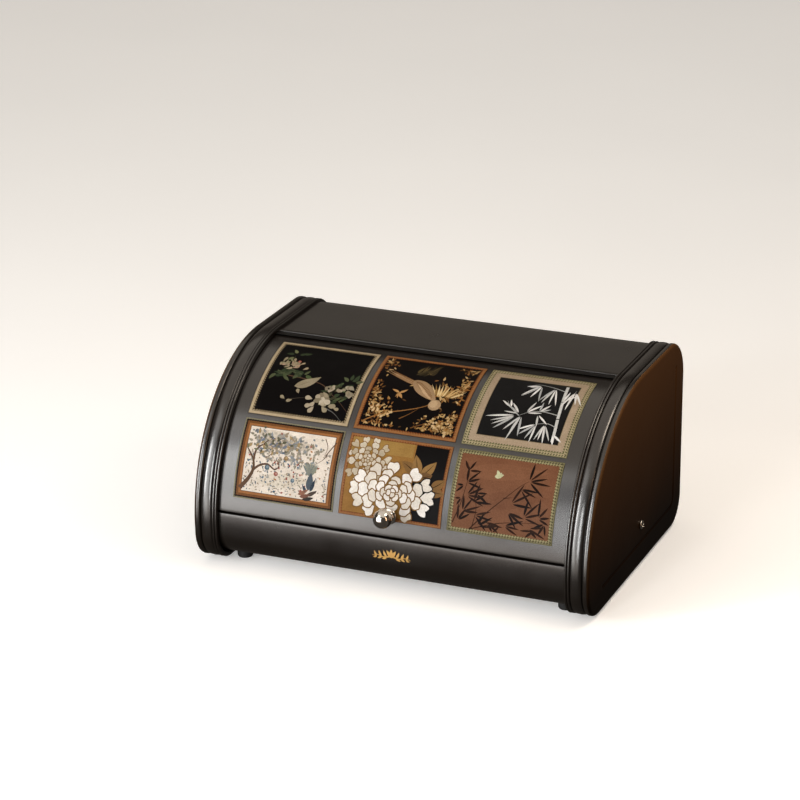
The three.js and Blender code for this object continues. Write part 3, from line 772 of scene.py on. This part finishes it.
class Art:
    """A printed film on the lid, drawn in millimetres: u across, v up from its lower edge."""

    def __init__(self, node, seed=0):
        self.node = node
        self.rng = random.Random(seed)
        low, high = cad_box(node)
        self.middle = (low.x + high.x) / 2
        self.width = high.x - low.x
        self.radius = FILM_R - SKIN
        self.low_t = math.degrees(math.asin(low.z / (FILM_R - FILM_THICKNESS)))
        high_t = math.degrees(math.asin(high.z / FILM_R))
        self.height = math.radians(high_t - self.low_t) * self.radius
        self.inset = 0.0  # from the film's edge to the field inside its border bands
        self.layer = 0
        self.vertices, self.faces, self.colours = [], [], []

    def spot(self, u, v, lift):
        p = at_angle(self.radius + lift, self.low_t + math.degrees(v / self.radius))
        return world(self.middle + u, p.x, p.y)

    def surface(self, rows, colour):
        """A strip through rows of points (u, v), on the layer that is being printed."""
        start = len(self.vertices)
        lift = FIRST_LAYER + LAYER * self.layer
        self.vertices += [self.spot(u, v, lift) for row in rows for u, v in row]
        faces = grid(len(rows), len(rows[0]), start)
        self.faces += faces
        self.colours += [colour] * len(faces)

    def panel(self, low_u, high_u, low_v, high_v, colour):
        """A flat colour field."""
        steps = max(2, int((high_v - low_v) / STEP))
        levels = [low_v + (high_v - low_v) * i / steps for i in range(steps + 1)]
        self.surface([[(low_u, v), (high_u, v)] for v in levels], colour)
        self.layer += 1

    def stroke(self, spine, width, colour, shape):
        """A brush stroke along a spine of points (u, v)."""
        rows, last = [], len(spine) - 1
        across = 2 * max(1, math.ceil(width / 2 / STEP))
        for i, (u, v) in enumerate(spine):
            before, after = spine[max(i - 1, 0)], spine[min(i + 1, last)]
            du, dv = after[0] - before[0], after[1] - before[1]
            length = math.hypot(du, dv) or 1
            du, dv = du / length, dv / length
            half = width / 2 * max(SHAPES[shape](i / last), 0.02)
            shifts = [half * (1 - 2 * j / across) for j in range(across + 1)]
            rows.append([(u - dv * shift, v + du * shift) for shift in shifts])
        self.surface(rows, colour)

    def leaf(self, u, v, angle, length, width, colour, bend=0.0, shape="leaf", steps=7):
        """A stroke that sets out from u, v at an angle and turns by bend on its way."""
        steps = max(steps, math.ceil(length / STEP))
        spine = []
        for i in range(steps + 1):
            s = i / steps
            a = math.radians(angle) + math.radians(bend) * s
            spine.append((u + length * s * math.cos(a), v + length * s * math.sin(a)))
        self.stroke(spine, width, colour, shape)

    def branch(self, points, width, colour):
        """A tapering twig through given points."""
        self.stroke(smooth(points, 5), width, colour, "twig")

    def branches(self, twigs, colour):
        """Twigs (points, width) of one colour."""
        for points, width in twigs:
            self.branch(points, width, colour)

    def dot(self, u, v, radius, colour):
        spine = [(u, v - radius * math.cos(math.pi * i / 6)) for i in range(7)]
        self.stroke(spine, 2 * radius, colour, "round")

    def room(self, u, v, angle):
        """How far it is from a point, at an angle, to the edge of the field inside the bands."""
        du, dv = math.cos(math.radians(angle)), math.sin(math.radians(angle))
        side = self.width / 2 - self.inset
        side_reach = ((side if du > 0 else -side) - u) / du if abs(du) > 0.001 else self.width
        end = self.height - self.inset if dv > 0 else self.inset
        end_reach = (end - v) / dv if abs(dv) > 0.001 else self.height
        return min(side_reach, end_reach)

    def leaves(self, spots, width, colours, bend=0.0, shape="leaf"):
        """Leaves at given spots (u, v, angle, length), in one colour or a drawn one."""
        for u, v, angle, length in spots:
            colour = colours if isinstance(colours, int) else self.rng.choice(colours)
            self.leaf(u, v, angle, length, width, colour, bend, shape)

    def drawn(self, value):
        """A number stays, a pair is a range to draw from, and a Near is drawn as it says."""
        if isinstance(value, Near):
            return self.rng.gauss(value.middle, value.spread)
        return self.rng.uniform(*value) if isinstance(value, tuple) else value

    def scatter(self, count, u, v, angle, length, width, colours, bend=0.0, shape="leaf", rise=0.0):
        """Leaves with drawn measures; each lies rise layers above the one before."""
        for _ in range(count):
            place = [self.drawn(value) for value in (u, v, angle, length, width)]
            self.leaf(*place, self.rng.choice(colours), self.drawn(bend), shape)
            self.layer += rise

    def spray(self, centre, spread, count, length, width, colours):
        """Loose leaves or specks round a centre, kept inside the border bands."""
        margin = self.inset + length
        side, top = self.width / 2 - margin, self.height - margin
        for _ in range(count):
            u = max(-side, min(side, centre[0] + self.rng.gauss(0, spread[0])))
            v = max(margin, min(top, centre[1] + self.rng.gauss(0, spread[1])))
            angle, size = self.rng.uniform(0, 360), length * self.rng.uniform(0.6, 1.2)
            self.leaf(u, v, angle, size, width, self.rng.choice(colours), steps=4)

    def sprays(self, clusters, share, colours, rise):
        """Clusters (centre, spread, count, length); share is a leaf's width over its length."""
        for centre, spread, count, length in clusters:
            self.spray(centre, spread, count, length, length * share, colours)
            self.layer += rise

    def bamboo(self, sprays, width, colours, inside):
        """Fans (u, v, aim, count, length, fan) of slender leaves that start just off a point."""
        overlap = 0.12
        for u, v, aim, count, length, fan in sprays:
            for i in range(count):
                angle = aim + fan * (i / max(count - 1, 1) - 0.5) + self.rng.uniform(-6, 6)
                size = length * self.rng.uniform(0.75, 1.1)
                turn, off = math.radians(angle), 0.1 * length
                base_u, base_v = u + off * math.cos(turn), v + off * math.sin(turn)
                if inside:
                    size = max(3, min(size, self.room(base_u, base_v, angle) - 0.8))
                wide = width * self.rng.uniform(0.85, 1.1)
                colour = self.rng.choice(colours)
                self.leaf(base_u, base_v, angle, size, wide, colour, self.rng.uniform(-3, 3), "lance")
                self.layer += overlap
            self.layer -= overlap * count

    def stitches(self, inset, pitch, length, width, colour):
        """A row of short slanted dashes round the border."""
        slant = 50
        half, top = self.width / 2 - inset, self.height - inset
        corners = [(-half, inset), (half, inset), (half, top), (-half, top)]
        for (u0, v0), (u1, v1) in zip(corners, corners[1:] + corners[:1]):
            count = int(math.hypot(u1 - u0, v1 - v0) / pitch)
            heading = math.degrees(math.atan2(v1 - v0, u1 - u0)) + slant
            for i in range(count):
                s = (i + 0.5) / count
                u, v = u0 + (u1 - u0) * s, v0 + (v1 - v0) * s
                self.leaf(u, v, heading, length, width, colour, 0, "bar", 2)
        self.layer += 1

    def finish(self):
        """The print becomes one piece, and the film under it stands for the CAD node."""
        name = self.node.replace("art_panel", "printed_panel")
        piece = new_object(name, self.vertices, self.faces, [FILM], closed=False, sharp=60)
        print_colours(piece, self.colours)
        slot = self.node.replace("art_panel", "film")
        settle(piece, "lid", slot)
        settle(film_base(self, slot), "lid", slot, self.node)


def film_base(art, name):
    """The film itself, a thin curved slab under the print."""
    half, rows_v = art.width / 2, 24
    vertices = []
    for lift in (0, SKIN - FILM_THICKNESS):
        for i in range(rows_v + 1):
            v = art.height * i / rows_v
            vertices += [art.spot(u, v, lift) for u in (-half, half)]
    count = (rows_v + 1) * 2
    faces = grid(rows_v + 1, 2) + grid(rows_v + 1, 2, count)
    for i in range(rows_v):
        for side in (0, 1):
            a, b = i * 2 + side, i * 2 + 2 + side
            faces.append([a, b, b + count, a + count])
    for a in (0, rows_v * 2):
        faces.append([a, a + 1, a + 1 + count, a + count])
    piece = new_object(name, vertices, faces, [FILM])
    print_colours(piece, [0x14110f] * len(faces))
    return piece


def framed(node, bands, ground, seed):
    """A film with nested border bands [(width, colour), ...] around its ground colour."""
    art = Art(node, seed)
    half = art.width / 2
    for width, colour in [*bands, (0, ground)]:
        art.panel(-half + art.inset, half - art.inset, art.inset, art.height - art.inset, colour)
        art.inset += width
    return art


def blossoms_on_black():
    bands = [(0.5, 0x4d4536), (2.6, 0xb3a283), (1.2, 0x4a3f2e)]
    art = framed("art_panel_top_left", bands, 0x070505, 11)
    art.stitches(3.2, 2.6, 2.2, 1.1, 0x9a8a6c)
    cream, bone, dull, olive, moss = 0x93886f, 0xa79b84, 0x857b66, 0x50563c, 0x35402b
    art.branch([(-26, 48), (-6, 46), (12, 42), (22, 34), (34, 26), (50, 12)], 1.4, 0x533e2f)
    art.branch([(-30, 76), (-28, 68), (-30, 60)], 0.7, 0x33301f)
    art.branch([(24, 16), (34, 12), (44, 4)], 1.2, 0x5d5c58)
    art.branch([(-14, 21), (-2, 24), (8, 24)], 0.6, 0x4a4238)
    art.layer += 1
    # Leaves.
    spots = [(-32, 78, 170, 8), (-30, 80, 115, 7), (-26, 78, 20, 8), (-22, 80, 5, 8), (-30, 73, 205, 7)]
    art.leaves(spots, 3.6, (olive, moss, 0x6f7350), 14)
    greens = (olive, moss, 0x4a5636, 0x2f3a28)
    art.scatter(26, (-40, -8), (46, 57), (-40, 220), (6, 11), (3, 4.6), greens, (-20, 20))
    greens = (moss, 0x2b3325, 0x4b5638, 0x3a3a28)
    art.scatter(26, (16, 40), (24, 44), (0, 360), (6, 10), (2.4, 4), greens, (-20, 20))
    spots = [(38, 52, 80, 8), (40, 51, 30, 8), (42, 53, 60, 8), (36, 50, 130, 8), (44, 50, 10, 8)]
    art.leaves(spots, 3.8, (olive, moss), 10)
    art.layer += 1
    # The small flower at the top left, with its bud.
    tones = (0x94886c, 0xa99a7c, 0x7d7a5a, 0xb89a80)
    art.scatter(30, Near(-28, 6), Near(61, 2.6), (20, 160), (4, 8), (2, 3.2), tones, 0, "petal")
    art.dot(-22, 68, 1.6, 0xb56a5a)
    art.layer += 1
    art.leaf(-15, 36, 20, 27, 10, cream, 14)
    art.leaf(-14, 36.3, 22, 22, 0.6, 0x6e6350, 14)
    # Blossoms at the right, and loose petals.
    petal, rise = "petal", 0.3
    tones = (cream, bone, 0x7d735c, 0xb8ae98)
    art.scatter(15, Near(16, 4), Near(25, 3), (0, 360), (6, 10), (4, 6.5), tones, (-15, 15), petal, rise)
    spots = [(10, 18, 200), (12, 16, 240), (20, 17, 320), (26, 20, 350), (8, 24, 170), (22, 34, 70)]
    art.leaves([(*spot, 8) for spot in spots], 5, (cream, bone), 0, petal)
    tones = (cream, dull, 0x9a917c)
    art.scatter(9, Near(43, 2), Near(37, 3), (0, 360), (5, 8), (3.5, 5.5), tones, (-15, 15), petal, rise)
    tones = (cream, dull, bone)
    for u, v, count in ((20, 40, 6), (34, 36, 7)):
        art.scatter(count, Near(u, 2), Near(v, 2), (0, 360), (3, 6), 3, tones, (-15, 15), petal, rise)
    spots = [(-20, 20, 150, 6), (-12, 20, 200, 6), (-8, 28, 120, 6), (26, 18, 0, 6), (32, 17, 350, 6)]
    art.leaves(spots, 3.6, cream, 0, petal)
    art.finish()


def bird_on_black():
    bands = [(0.5, 0x5e3a20), (3.0, 0x92643c), (0.8, 0x432815)]
    art = framed("art_panel_top_middle", bands, 0x090504, 23)
    art.stitches(2.6, 2.6, 2.0, 1.0, 0x7a4522)
    twig = [(-46, 8), (-34, 16), (-20, 22), (-4, 27), (12, 34), (26, 46), (40, 56), (50, 70)]
    art.branch(twig, 1.5, 0x8d6236)
    art.branch([(-10, 16), (-2, 22), (6, 30)], 1.2, 0x6e4a27)
    art.branch([(4, 8), (18, 14), (34, 12), (48, 16)], 1.1, 0x6e4a27)
    art.layer += 1
    gold = (0xa07c4a, 0xb99862, 0x80592f, 0xc4a673, 0x694825, 0x4e351c, 0x936231)
    clusters = (
        ((-44, 44), (3, 12), 46, 4.5), ((-34, 24), (7, 6), 90, 4.5), ((30, 12), (10, 5), 150, 3.6),
        ((40, 18), (6, 8), 60, 4.5), ((28, 54), (7, 5), 60, 6.5), ((42, 62), (4, 10), 60, 5.5),
        ((-30, 4), (10, 1.5), 30, 4), ((-42, 84), (4, 6), 24, 5), ((42, 88), (5, 3), 20, 5),
        ((0, 58), (6, 3), 16, 5),
    )
    art.sprays(clusters, 0.36, gold, 0.35)
    tones = (0x3f3622, 0x5a4c2e, 0x2a2416)
    art.scatter(16, (-13, 4), (70, 76), (40, 80), (12, 19), 3.0, tones, (-15, 15), "blade")
    rays = [(16 + i * 1.6, 47, 112 - 8 * i, 17) for i in range(11)]
    art.leaves(rays, 2.0, (0xc9a76e, 0xd9c08c, 0x8f7040), 5, "blade")
    art.layer += 1
    # Pale flowers: place and radius.
    flowers = (
        (-36, 26, 5.5), (-24, 20, 4), (30, 12, 5.5), (42, 8, 4), (16, 8, 3.6), (24, 18, 3.6),
        (38, 20, 3.6),
    )
    tones = (0xb39461, 0xcbb083, 0x9a7a48)
    for u, v, r in flowers:
        place = Near(u, 1.6), Near(v, 1.4), (0, 360)
        art.scatter(7, *place, (0.6 * r, 1.1 * r), 2.4, tones, (-15, 15), "petal", 0.3)
    # A small bird, then the large one from its tail to its head.
    for angle, length, width in ((150, 9, 2.6), (28, 9, 2.6), (-60, 8, 3), (-120, 6, 1.6), (-98, 7, 1.6)):
        art.leaf(-19, 45, angle, length, width, 0xb58a56, 8)
    art.layer += 1
    for spread, tone in ((-3, 0x7d5c3c), (0, 0xa68560), (3, 0x8e6e4c)):
        art.leaf(2, 56, 162 + spread, 48, 4.2, tone, -4, "blade")
    art.layer += 1
    art.leaf(-10, 63, -34, 38, 15, 0xa08462, -4)
    art.leaf(-8, 62, -32, 30, 6.5, 0x846544, -6)
    art.layer += 1
    art.leaves([(14 - 3 * i, 42 + 2.5 * i, 140 - 3 * i, 15) for i in range(4)], 2.2, 0xc0a27c, 5)
    art.dot(20, 36, 6.4, 0xa78c6a)
    art.leaf(25, 34, -30, 4.5, 2, 0x7a5c3c, 0, "blade")
    art.layer += 1
    art.dot(18.5, 37, 4.2, 0xb99e7a)
    art.finish()


def white_bamboo():
    bands = [(0.8, 0x7a7656), (3.0, 0xa89c7a), (0.6, 0x6f7050), (7.0, 0xa4927a), (0.5, 0x6a5f48)]
    art = framed("art_panel_top_right", bands, 0x171717, 5)
    art.stitches(3.8, 2.7, 2.0, 1.1, 0x5a5a38)
    art.stitches(1.1, 2.7, 2.0, 1.1, 0x4c4c30)
    culms = (
        [(28, 84), (29, 72), (30, 62)], [(30.2, 61), (31.5, 48), (32, 40)],
        [(32.2, 39), (33.5, 26), (34, 14)],
    )
    for points in culms:
        art.stroke(smooth(points, 6), 2.8, 0xc8c9c5, "bar")
    twigs = (
        [(31, 44), (16, 46), (4, 44), (-6, 38)], [(29, 76), (16, 80), (2, 82), (-6, 80)],
        [(33, 30), (24, 33), (14, 31)], [(30, 60), (36, 72), (38, 80)],
        [(-6, 38), (-16, 46), (-22, 54)],
    )
    for points in twigs:
        art.branch(points, 1.0, 0xa9aba8)
    art.layer += 1
    sprays = (
        (-8, 38, 208, 4, 27, 42), (-3, 39, 252, 4, 26, 38), (0, 42, 40, 3, 17, 60),
        (-6, 40, 150, 3, 18, 50), (12, 45, 50, 3, 13, 60), (12, 42, 300, 2, 15, 30),
        (4, 80, 205, 3, 14, 40), (4, 81, 245, 4, 22, 50), (18, 80, 262, 4, 25, 44),
        (38, 78, 275, 4, 22, 56), (30, 62, 60, 2, 13, 40), (14, 31, 235, 4, 18, 60),
        (22, 32, 275, 4, 18, 50), (-16, 46, 120, 2, 12, 40), (33, 22, 300, 2, 12, 40),
    )
    art.bamboo(sprays, 2.0, (0xd6d6d2, 0xc0c1bd, 0xe8e8e4, 0xa9aba9), False)
    art.finish()


def tree_on_ivory():
    bands = [(1.4, 0x7d7860), (1.3, 0x17120d), (2.4, 0x704827), (2.2, 0x97653a), (0.5, 0x472d18)]
    art = framed("art_panel_bottom_left", bands, 0xe2d8c9, 31)
    art.stitches(1.3, 2.6, 2.0, 1.2, 0x17120d)
    art.leaf(-36, 66, -12, 66, 15, 0xcbc1b0, 4)
    art.leaf(-30, 20, 4, 60, 14, 0xd6ccba, 2)
    art.layer += 1
    specks = (0x9a9890, 0x868d92, 0xa39884, 0xb3ab9c, 0x85806f, 0x6a7076, 0x94836c, 0x918c7c)
    clusters = (
        ((-14, 58), (16, 6), 150, 5.0), ((10, 50), (14, 8), 110, 4.4), ((0, 34), (26, 10), 150, 2.8),
        ((4, 18), (28, 6), 140, 2.4), ((-26, 42), (8, 8), 50, 3.4),
    )
    art.sprays(clusters, 0.5, specks, 0.3)
    art.spray((2, 38), (26, 16), 44, 2.8, 1.7, (0x9c5046, 0x47627a, 0x8f463d, 0x3f5a70, 0xa9774c))
    art.layer += 1
    trunk_and_twigs = (
        ([(-46, 10), (-38, 20), (-34, 30), (-36, 40), (-44, 50)], 4.6),
        ([(-35, 28), (-28, 34), (-20, 36), (-12, 32), (-8, 36), (-12, 42)], 2.6),
        ([(-35, 38), (-34, 48), (-28, 54), (-20, 52), (-18, 46), (-24, 42)], 2.2),
        ([(-28, 54), (-22, 60), (-12, 62)], 1.4), ([(46, 66), (40, 56), (36, 48), (28, 42)], 1.2),
        ([(34, 68), (38, 60), (36, 50)], 0.9),
    )
    art.branches(trunk_and_twigs, 0x5d4534)
    art.layer += 1
    tones = (0x6f6f56, 0x70798a, 0xa38a60, 0xb9ac96, 0x5c5a48)
    art.scatter(60, Near(-16, 12), Near(56, 5), (0, 360), (3, 5.5), 2.2, tones)
    fruits = (
        (-20, 33, 3.4, 0x50636f, 0x86969b), (-10, 28, 3.0, 0x96574c, 0xb58d80),
        (8, 24, 2.8, 0x5f7280, 0x8a9ba3), (-2, 44, 3, 0x8a6f4c, 0xb39a72),
    )
    for u, v, r, tone, light in fruits:
        art.dot(u, v, 0.75 * r, tone)
        art.dot(u + 0.4, v + 0.5, 0.4 * r, light)
    art.layer += 1
    # The bird's raised tail, its body and the ground it stands on.
    tail = (0x8d8f7c, 0x7f8884, 0x9c9880, 0x70797a)
    for i in range(12):
        art.leaf(25, 30, 52 + 6.5 * i, 14, 2.6, tail[i % 4], 6)
    art.layer += 1
    art.leaf(25, 17, 82, 17, 7, 0x4d5861, 4)
    art.leaf(27, 16, 68, 13, 3.6, 0x333d48, 4)
    art.leaf(23, 15, 120, 8, 3, 0x3a4754, 4)
    ground = ((15, 12, 20, 0x8f6450), (17, 10, 8, 0x7b5444), (20, 8, 4, 0x36322e), (24, 12, 20, 0x4a4038))
    for u, v, angle, tone in ground:
        art.leaf(u, v, angle, 12, 3.8, tone, 10)
    art.finish()


GOLD_GAP, DARK_FIELD = 0x7d5c2e, 0x0a0706
DARK_FIELD_U = 19  # the black fields of the gold panel start here

# The bloom's rings: reach, petal length and petal width as shares of the radius, and count.
BLOOM_RINGS = (
    (0.84, 0.36, 0.32, 12), (0.63, 0.29, 0.38, 9), (0.45, 0.23, 0.38, 9), (0.30, 0.19, 0.31, 6),
    (0.17, 0.15, 0.24, 6), (0.05, 0.12, 0.16, 3),
)


def bloom(art, u, v, radius, colours, squash, turn=0.0):
    """A full flower of notched petals, ring by ring, each with a thin gap round it.

    The gap has the colour of the field that the petal lies on."""
    rng, first = art.rng, art.layer
    gap, level, film_margin = 0.024 * radius + 0.12, 0.5, 1
    for index, (reach, length, width, count) in enumerate(BLOOM_RINGS):
        for i in range(count):
            a = math.radians(turn + 360 / count * (i + 0.5 * (index % 2)) + rng.uniform(-4, 4))
            from_u, from_v = math.cos(a), math.sin(a) * squash
            heading = math.degrees(math.atan2(from_v, from_u)) + rng.uniform(-9, 9)
            size = radius * length * math.hypot(from_u, from_v) ** 0.5 * rng.uniform(0.92, 1.08)
            wide = radius * width * 0.56 * rng.uniform(0.9, 1.08)
            start = radius * (reach - length * 0.42)
            base_u, base_v = u + start * from_u, v + start * from_v
            size = min(size, art.room(base_u, base_v, heading) + film_margin)
            line = DARK_FIELD if base_u > DARK_FIELD_U else GOLD_GAP
            art.layer = first + 2 * level * (3 * index + i % 3)
            for grow, colour in ((gap, line), (0, colours[(i + index) % len(colours)])):
                for lean in (11, -11):
                    aim = math.radians(heading + lean)
                    tip_u, tip_v = base_u - grow * math.cos(aim), base_v - grow * math.sin(aim)
                    long, broad = size + 2 * grow, wide + 2 * grow
                    art.leaf(tip_u, tip_v, heading + lean, long, broad, colour, lean * 0.7, "heart")
                art.layer += level


def white_bloom_on_gold():
    bands = [(0.5, 0x5e3a22), (2.4, 0x92643c), (0.5, 0x553319)]
    art = framed("art_panel_bottom_middle", bands, 0x926b35, 8)
    art.stitches(2.0, 2.6, 1.8, 0.9, 0x783f1e)
    half, top = art.width / 2 - art.inset, art.height - art.inset
    art.panel(16, half, 36, top, DARK_FIELD)
    art.panel(DARK_FIELD_U, half, art.inset, 34, DARK_FIELD)
    art.panel(-half, 14, 62, top, 0x997840)
    art.layer += 1
    leaves = (
        (20, 48, 140, 18), (22, 46, 96, 20), (26, 46, 42, 20), (38, 36, 28, 16), (36, 34, -14, 16),
        (24, 44, 10, 14),
    )
    for u, v, angle, size in leaves:
        art.leaf(u, v, angle, size, 10, art.rng.choice((0x7d5d34, 0x8c6b3e, 0x6d5030)), 8)
        art.layer += 0.3
        art.leaf(u, v, angle, size * 0.9, 0.8, 0x2f2010, 8)
    art.layer += 0.5
    bloom(art, -30, 54, 23, (0xc8bda6, 0xb5a88e, 0xd2c9b6), 1.0, 12)
    art.layer += 1
    bloom(art, -0.5, 26.5, 41.5, (0xe8e3d8, 0xdfd8ca, 0xeeeae2), 0.6)
    art.finish()


def bamboo_on_terracotta():
    art = framed("art_panel_bottom_right", [(0.7, 0x6a6646), (2.8, 0x857f5e), (0.6, 0x4c492e)], 0x785038, 17)
    art.stitches(2.4, 2.7, 2.2, 1.1, 0xa19a72)
    art.stitches(1.1, 2.7, 2.0, 1.1, 0x46432a)
    art.leaf(-40, 58, 4, 80, 16, 0x7e553c, 2)
    art.leaf(-30, 30, 8, 74, 16, 0x734c35, 2)
    art.layer += 1
    stems = (
        ([(-30, 4), (-14, 22), (2, 38), (14, 50), (22, 56)], 1.2),
        ([(-47, 8), (-41, 26), (-38, 44), (-37, 56)], 1.0), ([(-30, 4), (-4, 13), (20, 17), (44, 19)], 1.0),
        ([(0, 37), (8, 39)], 1.1), ([(-28, 4), (-25, 24), (-31, 42)], 0.9),
    )
    art.branches(stems, 0x331e10)
    art.layer += 1
    sprays = (
        (-38, 58, 60, 3, 11, 110), (-38, 47, 35, 4, 15, 100), (-40, 44, 205, 2, 9, 50),
        (-36, 35, 15, 4, 17, 90), (-41, 32, 215, 2, 8, 50), (-28, 30, 40, 3, 15, 70),
        (-38, 20, 40, 4, 16, 90), (-26, 18, 350, 3, 17, 60), (-42, 11, 60, 3, 13, 70),
        (-22, 8, 35, 3, 16, 60), (-27, 38, 350, 2, 13, 40), (22, 56, 20, 5, 18, 120),
        (15, 48, 335, 3, 18, 50), (6, 25, 330, 3, 17, 40), (8, 33, 30, 3, 20, 60),
        (22, 22, 35, 4, 18, 100), (4, 12, 355, 3, 17, 60), (28, 13, 340, 3, 16, 60),
        (36, 23, 30, 4, 16, 110), (43, 19, 245, 3, 12, 70), (-12, 12, 330, 3, 15, 50),
        (0, 11, 195, 3, 14, 50), (33, 11, 200, 2, 12, 40),
    )
    art.bamboo(sprays, 2.3, (0x180d05, 0x211207, 0x2a170a, 0x130903), True)
    art.layer += 1
    for u, v, angle, size, wide in ((-12, 56, 12, 9, 4.5), (-8, 57, 110, 6, 3.4), (-8, 56, 60, 5, 3)):
        art.leaf(u, v, angle, size, wide, 0xc2c49c, 6)
    art.finish()


blossoms_on_black()
bird_on_black()
white_bamboo()
tree_on_ivory()
white_bloom_on_gold()
bamboo_on_terracotta()


# ---- Gold sprig on the front lip ----

def gold_sprig():
    """A plain leaf ornament, printed on the front lip under the knob, all in one material."""
    art = Art("art_panel_bottom_middle")
    art.middle, art.radius, art.low_t = 3.0, LID_R, -4.6
    no_ink = 0
    for side in (-1, 1):
        turn = 0 if side > 0 else 180
        twig = [(side * u, v) for u, v in ((2.4, 5.6), (8, 4.6), (14, 6.2), (19.5, 5.0))]
        art.branch(twig, 1.6, no_ink)
        for i in range(3):
            along, size = 4.8 + 5.0 * i, 1 - 0.1 * i
            for lean, length in ((48, 7.0), (-44, 5.4)):
                heading = turn + side * lean
                art.leaf(side * along, 5.1, heading, length * size, 2.5 * size, no_ink, side * 16)
    art.leaves([(0, 4.6, heading, 9.0) for heading in (58, 122, 90)], 3.4, no_ink)
    sprig = new_object("gold_sprig", art.vertices, art.faces, [GOLD], closed=False, sharp=60)
    settle(sprig, "box", "paint")


gold_sprig()


# ---- CAD nodes that stay ----

def sides(name):
    return [name + "_left", name + "_right"]


KEPT = {
    PAINT_INSIDE: sides("lid_side_plate"),
    NYLON: sides("pivot_bush"),
    RUBBER: sides("lid_bumper"),
    ZINC: [
        *sides("pivot_washer"), *sides("pivot_nut"), "knob_washer", "knob_screw",
        *sides("foot_screw_front"), *sides("foot_screw_back"),
    ],
}
for kept_material, kept_nodes in KEPT.items():
    for kept_node in kept_nodes:
        kept_mesh = frame["nodes"][kept_node].data
        kept_mesh.materials.clear()
        kept_mesh.materials.append(kept_material)


# ---- Floor and light ----

def make_floor():
    """A pale floor that the camera sees; reflections, bounced light and shadow rays pass it by."""
    half = 9.0
    mesh = bpy.data.meshes.new("floor")
    corners = [(-half, -half), (half, -half), (half, half), (-half, half)]
    mesh.from_pydata([(x, y, 0) for x, y in corners], [], [[0, 1, 2, 3]])
    n = Nodes("floor", Roughness=0.85, Specular_IOR_Level=0.2, Emission_Strength=0.3)
    n.shader.inputs["Emission Color"].default_value = (1.0, 0.985, 0.96, 1)
    shade = n.ramp(n.noise(3, 2), (0.93, 0.93, 0.925, 1), (0.96, 0.96, 0.955, 1))
    n.set(n.shader, "Base Color", shade)
    mesh.materials.append(n.material)
    floor = placed("floor", mesh)
    floor.visible_glossy = False
    floor.visible_diffuse = False
    floor.visible_shadow = False


def area_light(name, azimuth, elevation, distance, size, power, colour=(1, 1, 1), aim=(0, 0, 0.08)):
    """A softbox in a direction from the point it aims at, with its size in metres."""
    back = direction(azimuth, elevation)
    data = bpy.data.lights.new(name, "AREA")
    data.shape = "RECTANGLE"
    data.size, data.size_y = size
    data.energy = power
    data.color = colour
    light = placed(name, data)
    light.location = Vector(aim) + back * distance
    light.rotation_euler = back.to_track_quat("Z", "Y").to_euler()


def make_lights():
    """Softboxes for the highlights on the lid, the roof and the beads, and a dim warm sky."""
    area_light("ceiling", 0, 88, 2.6, (5.0, 5.0), 56, (1.0, 0.91, 0.8))
    area_light("key", -31.5, 9, 1.8, (0.8, 1.4), 14, (1.0, 0.99, 0.975))
    area_light("low_fill", -16, -10, 1.8, (1.3, 0.44), 2.6, (1.0, 0.88, 0.78))
    area_light("key_halo", -30, 42, 1.8, (0.9, 0.7), 2.6, (1.0, 0.99, 0.98))
    area_light("bead_box", -4, 12, 2.2, (0.34, 1.3), 19, (1.0, 1.0, 1.0))
    area_light("left_strip", -40, 14, 2.2, (0.3, 1.3), 19, (1.0, 1.0, 1.0))
    area_light("warm_strip", 66, 18, 2.2, (0.22, 1.4), 6, (1.0, 0.62, 0.38))
    area_light("warm_side", 88, 62, 0.7, (0.4, 0.2), 2.0, (1.0, 0.84, 0.68), (0.15, 0.03, 0.16))
    area_light("back", 203, 16, 3.0, (3.4, 1.2), 2.4, (1.0, 0.88, 0.74))
    sky = bpy.data.worlds.new("world")
    bpy.context.scene.world = sky
    sky.use_nodes = True
    background = sky.node_tree.nodes["Background"]
    background.inputs["Color"].default_value = (1.0, 0.87, 0.74, 1)
    background.inputs["Strength"].default_value = 0.06


make_floor()
make_lights()
bpy.context.scene.view_settings.view_transform = "Standard"
